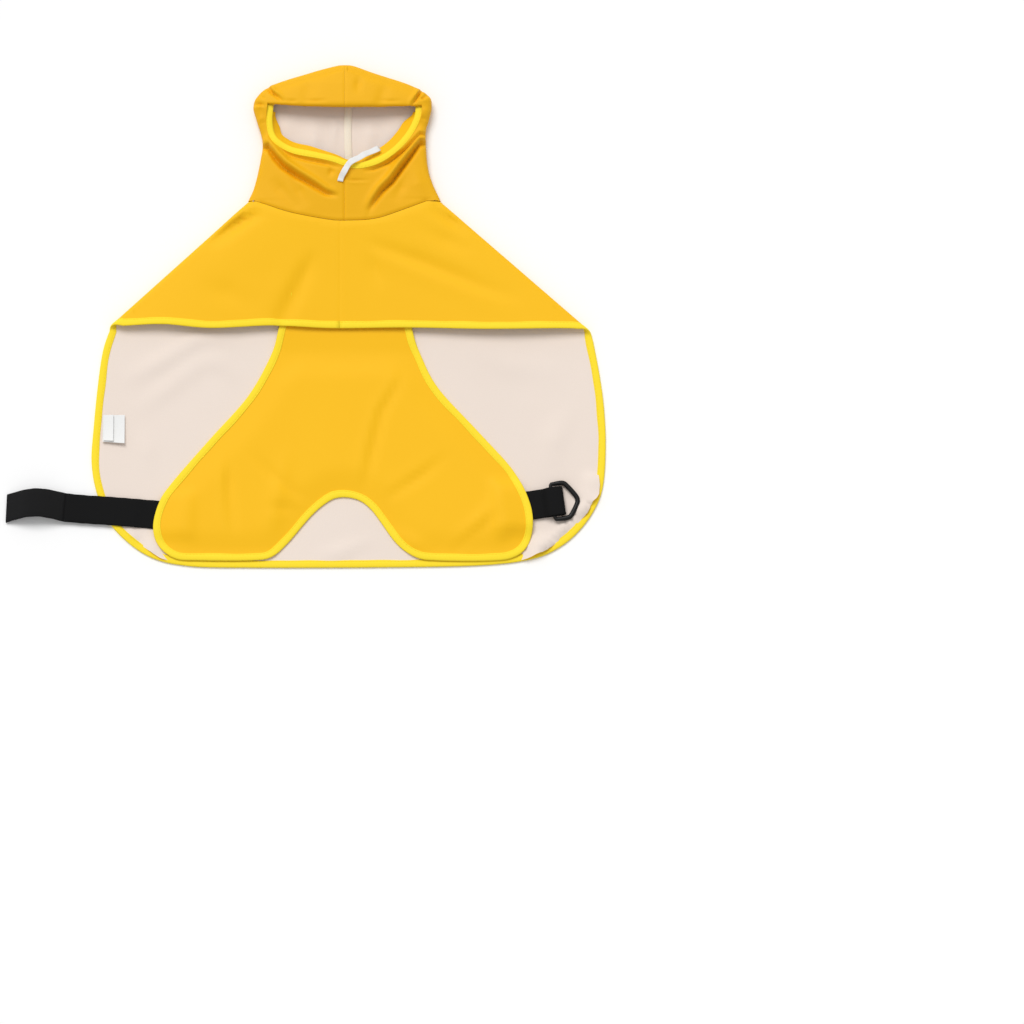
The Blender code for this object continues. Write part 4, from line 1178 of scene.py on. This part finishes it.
def make_hood_half(name, hood):
    side = hood.side
    half = side * HOOD_SEAM_GAP / 2
    line = smooth_through(FACE_OPENING, EDGE_STEP / 2)
    mine = line[line[:, 0] * side > 2]
    mine = mine if side > 0 else mine[::-1]
    brim = brim_line(side)
    bottom = line[np.abs(line[:, 0]) < 50]
    y_low = float(np.interp(half, bottom[:, 0], bottom[:, 1]))
    seam = NECK_LINE[NECK_LINE[:, 0] * side > 3] + (0, NECK_EASE)
    seam = seam if side < 0 else seam[::-1]
    y_neck = FRONT_NECK_SEAM[3][1] + NECK_EASE
    crown = hood.inner[::-1]
    front = [
        (half, y_low),
        *[tuple(point) for point in mine[:-1]],
        *brim,
        (half, BRIM_FRONT_Y),
        *[tuple(point) for point in crown],
        *[tuple(point) for point in seam[::-1]],
        (half, y_neck),
    ]
    bm = new_cloth()
    cuts = grid_cuts(front, sizes().hood_grid / MM)
    cuts += [((side * x, 0), (1, 0)) for x in HOOD_SEAM_LINES]
    for vert in lay_cut(bm, front, cuts):
        vert.co.z = front_height(vert.co.x, vert.co.y)
    rim = [edge for edge in bm.edges if edge.is_boundary]
    on_side = [edge for edge in rim if all(lies_on(vert, hood.inner) for vert in edge.verts)]
    brim_edge = np.array([*brim, (half, BRIM_FRONT_Y)])
    on_brim = [edge for edge in rim if all(lies_on(vert, brim_edge) for vert in edge.verts)]

    def side_frame(vert):
        out, radius = hood.roll_at(vert.co.x, vert.co.y)
        low = hood_back_lift(vert.co.x, vert.co.y)
        return (vert.co.x, vert.co.y), out, vert.co.z, low, radius

    def brim_frame(vert):
        forward = np.array([0.0, -1.0])
        radius = brim_roll(vert.co.x)
        return (vert.co.x, vert.co.y), forward, vert.co.z, vert.co.z - 2 * radius, radius

    roll_over(bm, on_side, side_frame, ROLL_STEPS)
    edges = roll_over(bm, on_brim, brim_frame, ROLL_STEPS - 1)
    turned = bmesh.ops.extrude_edge_only(bm, edges=edges)["geom"]
    reach = abs(brim[0][0])
    for vert in [part for part in turned if isinstance(part, bmesh.types.BMVert)]:
        share = min(1.0, abs(vert.co.x) / reach)
        spread = BRIM_TURN_IN - BRIM_CORNER_TURN_IN
        vert.co.y += BRIM_CORNER_TURN_IN + spread * (1 - share**2)
        vert.co.z -= CLOTH / 2
    back = [
        (half, BACK_NECK_Y + SEAM_GAP),
        *[(side * x, y + SEAM_GAP) for x, y in BACK_NECK],
        *[tuple(point) for point in hood.inner],
    ]
    known = set(bm.verts)
    for vert in lay_cut(bm, back, cuts):
        vert.co.z = hood_back_lift(vert.co.x, vert.co.y)
    bmesh.ops.reverse_faces(
        bm, faces=[f for f in bm.faces if not known.intersection(f.verts)]
    )
    # The outer face takes the hood's darker cloth colour, which is painted shade.
    piece = make_object(name, bm, ["hood", "lining"], CLOTH)
    dress(piece, "garment", "outer_cloth", name)
    spread = np.pi * hood.radii[:-1] * np.linalg.norm(np.diff(hood.inner, axis=0), axis=1)
    area = (shoelace(front) + shoelace(back) + float(spread.sum())) * MM * MM
    width = (2 * np.abs(np.array(back)[:, 0]).max() + math.pi * hood.radii.mean()) * MM
    length = (np.array(back)[:, 1].max() - BACK_NECK_Y) * MM
    return piece, (float(width), float(length)), min(area, float(width * length))


# Inner leaf of the opening's binding: its least depth, what it gains to the left and to the
# right, and its rows as shares of the depth
LEAF_DEEP = 4.5
LEAF_WIDEST = (4.5, 7.0)
LEAF_ROWS = (0, 0.3, 0.65, 1)


def opening_edge():
    """The whole edge of the face opening, with the height of the cloth's outer face along it."""
    shown = smooth_through(FACE_OPENING, 3.0)
    hidden = smooth_through((FACE_OPENING[-1], *HIDDEN_EDGE, FACE_OPENING[0]), EDGE_STEP)[1:-1]
    heights = []
    for x, y in shown:
        climb = (y - CORNER_DIP_FROM_Y) / CORNER_DIP_REACH
        heights.append(front_height(x, y) - CORNER_DIP * held(climb))
    for x, y in hidden:
        heights.append(front_height(x, BRIM_FRONT_Y, True) - 2 * brim_roll(x) - BINDING_THICK)
    kernel = np.array([1, 2, 3, 2, 1]) / 9
    padded = np.array([*heights[-2:], *heights, *heights[:2]])
    return np.vstack([shown, hidden]), np.convolve(padded, kernel, "valid")


def make_hood_binding():
    line, heights = opening_edge()
    width = BINDING_WIDTH - 0.8
    out = normals_of(line, True)
    folded = (line - out * (width - 0.3))[::-1]
    around = np.vstack([line, line[:1]])
    levels = np.append(heights, heights[0])

    def level(x, y):
        k, share, gap = nearest_on(around, x, y)
        tilt = 0.16 * gap
        return levels[k] * (1 - share) + levels[k + 1] * share - tilt

    def lay(x, y, up):
        return x, y, level(x, y) + up - BINDING_THICK + 0.75

    bound = bound_edge("hood", folded, lay, (BINDING_THICK * STITCH_UPPER,), True, width)

    # the tape's inner leaf, turned down into the opening in the shade; besides that real shade, it
    # takes the outer cloth's deeper golden colour instead of the binding's yellow, as painted shade
    shown = smooth_through(FACE_OPENING, 4.0)[2:-2]
    outs = normals_of(shown)
    bm = new_cloth()
    cut = bm.verts.layers.float_vector[CUT]
    rows = []
    runs = arc_lengths(shown)
    for (x, y), normal, run in zip(shown, outs, runs):
        widest = LEAF_WIDEST[int(x > 0)]
        deep = LEAF_DEEP + widest * min(1.0, abs(x) / 40) * ramp(y - 196, 14)
        row = []
        for share in LEAF_ROWS:
            away = width - 2.4 + share * deep
            high = level(x - normal[0] * away, y - normal[1] * away)
            vert = bm.verts.new(
                (x - normal[0] * away, y - normal[1] * away, high - 1.4 - share * 5.5)
            )
            vert[cut] = (run, share * deep, 0)
            row.append(vert)
        rows.append([bm.edges.new(pair) for pair in zip(row, row[1:])])
    for first, second in zip(rows, rows[1:]):
        bmesh.ops.bridge_loops(bm, edges=first + second)
    face_up(bm)
    # The outer cloth's finish on this piece of the binding is painted shade.
    leaf = make_object("hood_binding_inner", bm, ["outer"], 0.6)
    dress(leaf, "garment", "binding")
    return [*bound, leaf]


def patch(name, size, lay, finish, slot, thick, grid=(10, 10)):
    """A small flat piece: lay(across, along) puts a point of its unit square in its place."""
    bm = new_cloth()
    cut = bm.verts.layers.float_vector[CUT]
    bmesh.ops.create_grid(bm, x_segments=grid[0], y_segments=grid[1], size=0.5)
    for vert in bm.verts:
        across, along = vert.co.x + 0.5, vert.co.y + 0.5
        vert[cut] = (along * size[1], across * size[0], 0)
        vert.co = lay(across, along)
    face_up(bm)
    obj = make_object(name, bm, [finish], thick)
    bevel = obj.modifiers.new("soft edge", "BEVEL")
    bevel.width = thick * 0.3 * MM
    bevel.segments = 2
    return dress(obj, "garment", slot, name)


def make_hood():
    left = make_hood_half("hood_left", HOOD_SIDES[0])
    right = make_hood_half("hood_right", HOOD_SIDES[1])
    pieces = make_hood_binding()
    x0, y0, x1, y1 = SEAM_TAPE_BOX

    def lay_tape(across, along):
        x = x0 + (x1 - x0) * across + 0.4 * math.sin(along * 9)
        y = y0 + (y1 - y0) * along
        swell = 0.8 * (1 - (2 * across - 1) ** 2)
        return x, y, hood_back_lift(x, y) + CLOTH + 0.9 + swell

    size = (x1 - x0, y1 - y0)
    tape = patch("hood_seam_tape", size, lay_tape, "seam_tape", "lining", 0.6, (6, 40))


# ---------------------------------------------------------------- belly panel


def make_belly():
    bm = new_cloth()
    panel = inset(BELLY_LINE, CLOTH_INSET)
    for vert in lay_cut(bm, panel, grid_cuts(panel, sizes().cape_grid / MM)):
        vert.co.z = belly_base(vert.co.x, vert.co.y) + CLOTH
    belly = make_object("belly_panel", bm, ["outer", "lining"], CLOTH)
    dress(belly, "garment", "outer_cloth", "belly_panel")

    def lay(x, y, up):
        return x, y, belly_base(x, y) + up

    bound = bound_edge("belly", BELLY_LINE, lay, (BINDING_THICK * STITCH_UPPER,))


# ---------------------------------------------------------------- webbing and ring

STRIP_SECTION = (
    # share of the half width, share of the half thickness
    (1.0, 0.0),
    (0.985, 0.55),
    (0.95, 0.85),
    (0.9, 0.9),
    (0.86, 1.0),
    (0.6, 1.0),
    (0.3, 1.0),
    (0.0, 1.0),
)
# Its edges waver by this much over this run, and its weave is shifted underneath
FRAY = 0.12
FRAY_RUN = 2.3
UNDER_SHIFT = 40


def strip_ring():
    quarter = list(STRIP_SECTION)
    upper = quarter + [(-a, b) for a, b in quarter[-2::-1]]
    return upper + [(a, -b) for a, b in upper[-2:0:-1]]


def webbing(bm, path, wides, width, thick, square=True):
    """A flat strip: its rounded section carried along a path of middle points."""
    cut = bm.verts.layers.float_vector[CUT]
    path = np.array(path, float)
    runs = arc_lengths(path)
    rings = []
    for k, (point, wide) in enumerate(zip(path, wides)):
        run = Vector(path[min(k + 1, len(path) - 1)] - path[max(k - 1, 0)]).normalized()
        wide = Vector(wide)
        wide = (wide - run * wide.dot(run) if square else wide).normalized()
        up = run.cross(wide).normalized()
        frayed = FRAY * math.sin(runs[k] / FRAY_RUN)
        ring = []
        for a, b in strip_ring():
            reach = a * (width / 2 + frayed * abs(a))
            vert = bm.verts.new(Vector(point) + wide * reach + up * b * thick / 2)
            vert[cut] = (runs[k], a * width / 2 + (UNDER_SHIFT if b < 0 else 0), 0)
            ring.append(vert)
        rings.append(ring)
    loft(bm, rings, False)


def strap_piece(name, route, finish, squash=0.0, cut_upright=False):
    path = smooth_through(route, 3.0)
    path[:, 2] += WEBBING_THICK / 2
    flat = np.gradient(path, axis=0)[:, :2]
    wides = [(-run[1], run[0], 0) for run in flat]
    if cut_upright:
        # the free end hangs over its arch, so its cut stays upright as the strip turns down
        wides = [(0.05 * share - 0.09, -1, 0) for share in np.linspace(0, 1, len(path))]
    bm = new_cloth()
    webbing(bm, path, wides, WEBBING_WIDTH, WEBBING_THICK - squash, not cut_upright)
    obj = make_object(name, bm, [finish])
    return dress(obj, "garment", "webbing", name)


def tab_frame():
    along = np.array([math.cos(TAB_ANGLE), math.sin(TAB_ANGLE)])
    return np.array(TAB_ROOT, float), along, np.array([-along[1], along[0]])


def bar_place():
    """Centre of the ring's bar: X and Y, height, and the radius of the loop round it."""
    root, along, _ = tab_frame()
    centre = root + along * BAR_RUN
    loop = RING_BAR / 2 + TAB_CLEARANCE
    height = CLOTH + SEAM_GAP + WEBBING_THICK + loop
    return centre, height, loop


def make_webbing():
    strap_piece("strap_webbing", STRAP_ROUTE, "webbing")
    strap_piece("strap_hook_end", STRAP_END_ROUTE, "hook", 0.1, True)
    root, along, side = tab_frame()
    _, height, loop = bar_place()
    low = CLOTH + SEAM_GAP + WEBBING_THICK / 2
    top = low + WEBBING_THICK + SEW_GAP * 0.6
    inner = loop + WEBBING_THICK / 2
    profile = [(run, low) for run in np.linspace(0, TAB_LENGTH, 15)]
    for k in range(1, 11):
        angle = -math.pi / 2 + math.pi * k / 10
        profile.append((TAB_LENGTH + inner * math.cos(angle), height + inner * math.sin(angle)))
    back_z = height + inner
    for share in np.linspace(0, 1, 8):
        run = BAR_RUN - BAR_BEHIND + (TAB_FLAT_RUN - BAR_RUN + BAR_BEHIND) * share
        profile.append((run, back_z + (top - back_z) * eased(share)))
    profile += [(run, top) for run in np.linspace(TAB_FLAT_RUN - 3, 0, 12)]
    path = [(*(root + along * run), z) for run, z in profile]
    bm = new_cloth()
    webbing(bm, path, [(side[0], side[1], 0)] * len(path), WEBBING_WIDTH, WEBBING_THICK)
    tab = make_object("tab_webbing", bm, ["webbing"])
    dress(tab, "garment", "webbing", "tab_webbing")


def make_ring():
    """A triangular ring, turned about its bar, which lies in the loop of the tab."""
    _, along, side = tab_frame()
    centre, height, _ = bar_place()
    table = []
    for run, place in (*RING_OUTLINE, *[(0, place) for place in BAR_PLACES]):
        x, y = centre + along * run * math.cos(RING_TILT) + side * place
        table.append((x, y, height - run * math.sin(RING_TILT)))
    path = smooth_through(table, 1.6, True)
    bm = new_cloth()
    count = len(path)
    rings = []
    for k, point in enumerate(path):
        run = Vector(path[(k + 1) % count] - path[k - 1]).normalized()
        across = Vector((0, 0, 1)).cross(run).normalized()
        up = run.cross(across)
        beyond = float((point[:2] - centre) @ along)
        radius = RING_BAR / 2 + RING_SWELL * (1 - ramp(beyond, RING_SWELL_RUN))
        ring = []
        for j in range(RING_SIDES):
            turn = math.tau * j / RING_SIDES
            reach = across * math.cos(turn) + up * math.sin(turn)
            ring.append(bm.verts.new(Vector(point) + reach * radius))
        rings.append(ring)
    loft(bm, rings, True)
    ring = make_object("ring", bm, ["ring"])
    dress(ring, "ring", "ring_plastic", "ring")


# ---------------------------------------------------------------- labels and tape


def make_labels():
    width, height = LABEL_SIZE
    x0, y0 = LABEL_CORNER

    def leaf(left, right, low, level, skew):
        def lay(across, along):
            x = x0 + left + (right - left) * across
            y = y0 + low + (height - low) * along - skew * across * (1 - along)
            lift = LABEL_CURL * across**2 * 0.6 + LABEL_CURL * (1 - along) ** 3
            return x, y, back_lift(x, y) + level + lift

        return lay

    base = CLOTH + 0.9
    back = leaf(0, width, 0, base, LABEL_SKEW)
    front = leaf(LABEL_INSET, LABEL_LEAF, LABEL_INSET, base + 0.9, 0.6)
    patch("care_label_back", LABEL_SIZE, back, "tape", "label", LABEL_THICK)
    patch("care_label_front", (LABEL_LEAF, height), front, "tape", "label", LABEL_THICK)
    path = smooth_through(NECK_TAPE_ROUTE, 2.0)
    runs = arc_lengths(path)
    path[:, 0] += TAPE_SWAY * np.sin(runs / TAPE_SWAY_RUN)
    path[:, 2] += TAPE_THICK + TAPE_WRINKLE * np.sin(runs / TAPE_WRINKLE_RUN)
    flat = np.gradient(path, axis=0)[:, :2]
    bm = new_cloth()
    webbing(bm, path, [(-run[1], run[0], 0) for run in flat], TAPE_WIDTH, TAPE_THICK)
    tape = make_object("neck_tape", bm, ["tape"])
    dress(tape, "garment", "label", "neck_tape")


# ---------------------------------------------------------------- leash flap


def make_leash_flap():
    corner = LEASH_FLAP_CORNER
    reach = LEASH_FLAP_HALF - corner
    top = BACK_NECK_Y - SEAM_GAP
    centre_y = BACK_NECK_Y - LEASH_FLAP_LENGTH + corner
    right = [(LEASH_FLAP_HALF, y) for y in np.arange(top, centre_y + 2, -5)]
    for k in range(13):
        angle = -math.pi / 2 * k / 12
        right.append((reach + corner * math.cos(angle), centre_y + corner * math.sin(angle)))
    line = np.array([*[(-x, y) for x, y in right], *right[::-1]])
    line[:, 0] += LEASH_FLAP_X
    inner = inset(line, CLOTH_INSET)
    inner[0, 1] = inner[-1, 1] = top
    bm = new_cloth()
    for vert in lay_cut(bm, inner, grid_cuts(inner, 6)):
        swell = math.sin((vert.co.y - top) / 13) * math.cos(vert.co.x / 17)
        vert.co.z = 0.4 + 0.35 * swell
    bmesh.ops.reverse_faces(bm, faces=bm.faces)
    flap = make_object("leash_flap", bm, ["outer", "lining"], CLOTH)
    dress(flap, "garment", "outer_cloth", "leash_flap")

    def lay(x, y, up):
        return x, y, up

    bound = bound_edge("leash_flap", line, lay, (BINDING_THICK * STITCH_LOWER,))


# ---------------------------------------------------------------- stage

VIEW_TILT = math.radians(12)
VIEW_AIM = (0.171156, -0.204386, 0.0)
VIEW_DISTANCE = 12.0
VIEW_LENS = 415.07
LIGHT_FROM = (-0.3, 0.68, 1.0)
LIGHT_SPREAD = math.radians(34)
FLOOR = (0.97, 0.97, 0.97)
FLOOR_DULL = (0.95, 0.95, 0.95)


def make_stage():
    scene = bpy.context.scene
    bm = bmesh.new()
    bmesh.ops.create_grid(bm, x_segments=2, y_segments=2, size=6)
    bmesh.ops.translate(bm, verts=bm.verts, vec=(0, 0, -0.0004))
    mesh = bpy.data.meshes.new("stage_floor")
    bm.to_mesh(mesh)
    bm.free()
    floor = bpy.data.objects.new("stage_floor", mesh)
    scene.collection.objects.link(floor)
    finish = Finish("pale_floor", roughness=0.9, specular_ior_level=0.0)
    place = finish.node("ShaderNodeTexCoord", output="Object")
    cloudy = finish.noise(place, 2.0)
    finish.give(base_color=finish.blend(cloudy * 0.2, colour(FLOOR), colour(FLOOR_DULL)))
    mesh.materials.append(finish.material)

    camera_data = bpy.data.cameras.new("view")
    camera_data.lens = VIEW_LENS
    camera_data.clip_end = 100
    camera = bpy.data.objects.new("view", camera_data)
    scene.collection.objects.link(camera)
    back = Vector((0, -math.sin(VIEW_TILT), math.cos(VIEW_TILT)))
    camera.location = Vector(VIEW_AIM) + back * VIEW_DISTANCE
    camera.rotation_euler = (VIEW_TILT, 0, 0)
    scene.camera = camera

    world = bpy.data.worlds.new("studio")
    world.use_nodes = True
    background = world.node_tree.nodes["Background"]
    background.inputs["Color"].default_value = (1, 1, 1, 1)
    background.inputs["Strength"].default_value = sizes().fill_light
    scene.world = world
    lamp_data = bpy.data.lights.new("soft_key", "SUN")
    lamp_data.energy = sizes().key_light
    lamp_data.angle = LIGHT_SPREAD
    lamp = bpy.data.objects.new("soft_key", lamp_data)
    scene.collection.objects.link(lamp)
    lamp.rotation_euler = Vector(LIGHT_FROM).to_track_quat("Z", "Y").to_euler()
    scene.view_settings.view_transform = "Standard"


# ---------------------------------------------------------------- add-on


def sizes():
    return bpy.context.scene.raincoat_sizes


def colour_property(name, description, default):
    return bpy.props.FloatVectorProperty(
        name=name, description=description, default=default, subtype="COLOR", size=3, min=0, max=1
    )


class RaincoatSizes(bpy.types.PropertyGroup):
    """Mesh spacing and light."""

    cape_grid: bpy.props.FloatProperty(
        name="Cape spacing",
        description="Distance between the mesh lines of the cape and the belly panel",
        default=CAPE_GRID * MM, unit="LENGTH", min=0.002,
    )
    hood_grid: bpy.props.FloatProperty(
        name="Hood spacing",
        description="Distance between the mesh lines of the hood",
        default=HOOD_GRID * MM, unit="LENGTH", min=0.001,
    )
    fill_light: bpy.props.FloatProperty(
        name="Fill light", description="Strength of the even light from all round", default=0.55,
    )
    key_light: bpy.props.FloatProperty(
        name="Key light", description="Strength of the soft light from the upper left",
        default=1.93,
    )


class RaincoatColours(bpy.types.PropertyGroup):
    """Colours of the cloth, tapes and plastic."""

    outer: colour_property("Outer cloth", "Cloth of the outside, lit", (0.945, 0.525, 0.005))
    outer_shade: colour_property("Outer cloth, dull", "Duller threads of it", (0.90, 0.47, 0.003))
    # The hood's two colours are darker copies of the outer cloth's, as painted shade.
    hood: colour_property("Hood cloth", "Cloth of the hood, lit", (0.87, 0.455, 0.004))
    hood_shade: colour_property("Hood cloth, dull", "Duller threads of it", (0.82, 0.40, 0.002))
    binding: colour_property("Binding", "Folded tape round the edges", (0.98, 0.76, 0.035))
    binding_shade: colour_property("Binding, dull", "Its ribs and stitches", (0.93, 0.63, 0.012))
    lining: colour_property("Inside", "Inner face of the cloth", (0.855, 0.745, 0.665))
    lining_shade: colour_property("Inside, dull", "Duller threads of it", (0.76, 0.65, 0.57))
    webbing: colour_property("Webbing", "Black webbing", (0.003, 0.003, 0.0032))
    webbing_worn: colour_property("Webbing, worn", "Its raised threads", (0.007, 0.007, 0.0076))
    ring: colour_property("Ring", "Moulded ring", (0.006, 0.006, 0.006))
    tape: colour_property("White tape", "Labels and neck tape", (0.86, 0.86, 0.85))
    tape_shade: colour_property("White tape, dull", "Its ribs", (0.72, 0.72, 0.71))
    seam_tape: colour_property("Seam tape", "Tape over the hood's back seam", (0.90, 0.83, 0.68))


class RAINCOAT_OT_stage(bpy.types.Operator):
    """Lay the pale floor and set the camera and the soft light."""

    bl_idname = "raincoat.stage"
    bl_label = "Stage"

    def execute(self, context):
        make_stage()
        return {"FINISHED"}


class RAINCOAT_OT_cape(bpy.types.Operator):
    """Make the folded cape with its bound edge."""

    bl_idname = "raincoat.cape"
    bl_label = "Cape"

    def execute(self, context):
        make_cape()
        return {"FINISHED"}


class RAINCOAT_OT_hood(bpy.types.Operator):
    """Make the two halves of the hood, the binding of its opening and its seam tape."""

    bl_idname = "raincoat.hood"
    bl_label = "Hood"

    def execute(self, context):
        make_hood()
        return {"FINISHED"}


class RAINCOAT_OT_belly(bpy.types.Operator):
    """Make the belly panel with its bound edge."""

    bl_idname = "raincoat.belly"
    bl_label = "Belly panel"

    def execute(self, context):
        make_belly()
        return {"FINISHED"}


class RAINCOAT_OT_webbing(bpy.types.Operator):
    """Make the strap with its hook end, and the tab that holds the ring."""

    bl_idname = "raincoat.webbing"
    bl_label = "Webbing"

    def execute(self, context):
        make_webbing()
        return {"FINISHED"}


class RAINCOAT_OT_ring(bpy.types.Operator):
    """Make the triangular ring."""

    bl_idname = "raincoat.ring"
    bl_label = "Ring"

    def execute(self, context):
        make_ring()
        return {"FINISHED"}


class RAINCOAT_OT_labels(bpy.types.Operator):
    """Make the bare labels and the neck tape."""

    bl_idname = "raincoat.labels"
    bl_label = "Labels and tape"

    def execute(self, context):
        make_labels()
        return {"FINISHED"}


class RAINCOAT_OT_leash_flap(bpy.types.Operator):
    """Make the flap under the back."""

    bl_idname = "raincoat.leash_flap"
    bl_label = "Leash flap"

    def execute(self, context):
        make_leash_flap()
        return {"FINISHED"}


OPERATORS = (
    RAINCOAT_OT_stage,
    RAINCOAT_OT_cape,
    RAINCOAT_OT_hood,
    RAINCOAT_OT_belly,
    RAINCOAT_OT_webbing,
    RAINCOAT_OT_ring,
    RAINCOAT_OT_labels,
    RAINCOAT_OT_leash_flap,
)


class RAINCOAT_PT_panel(bpy.types.Panel):
    """The raincoat's sizes, colours and pieces."""

    bl_idname = "RAINCOAT_PT_panel"
    bl_label = "Dog raincoat"
    bl_space_type = "VIEW_3D"
    bl_region_type = "UI"
    bl_category = "Raincoat"

    def draw(self, context):
        for group in (context.scene.raincoat_sizes, context.scene.raincoat_colours):
            box = self.layout.box()
            for name in group.bl_rna.properties.keys():
                if name not in ("name", "rna_type"):
                    box.prop(group, name)
        for operator in OPERATORS:
            self.layout.operator(operator.bl_idname)


CLASSES = (RaincoatSizes, RaincoatColours, *OPERATORS, RAINCOAT_PT_panel)


def register():
    for made in CLASSES:
        bpy.utils.register_class(made)
    bpy.types.Scene.raincoat_sizes = bpy.props.PointerProperty(type=RaincoatSizes)
    bpy.types.Scene.raincoat_colours = bpy.props.PointerProperty(type=RaincoatColours)


def unregister():
    del bpy.types.Scene.raincoat_colours
    del bpy.types.Scene.raincoat_sizes
    for made in reversed(CLASSES):
        bpy.utils.unregister_class(made)


def main():
    register()
    for operator in OPERATORS:
        getattr(bpy.ops.raincoat, operator.bl_idname.split(".")[1])()


if __name__ == "__main__":
    main()
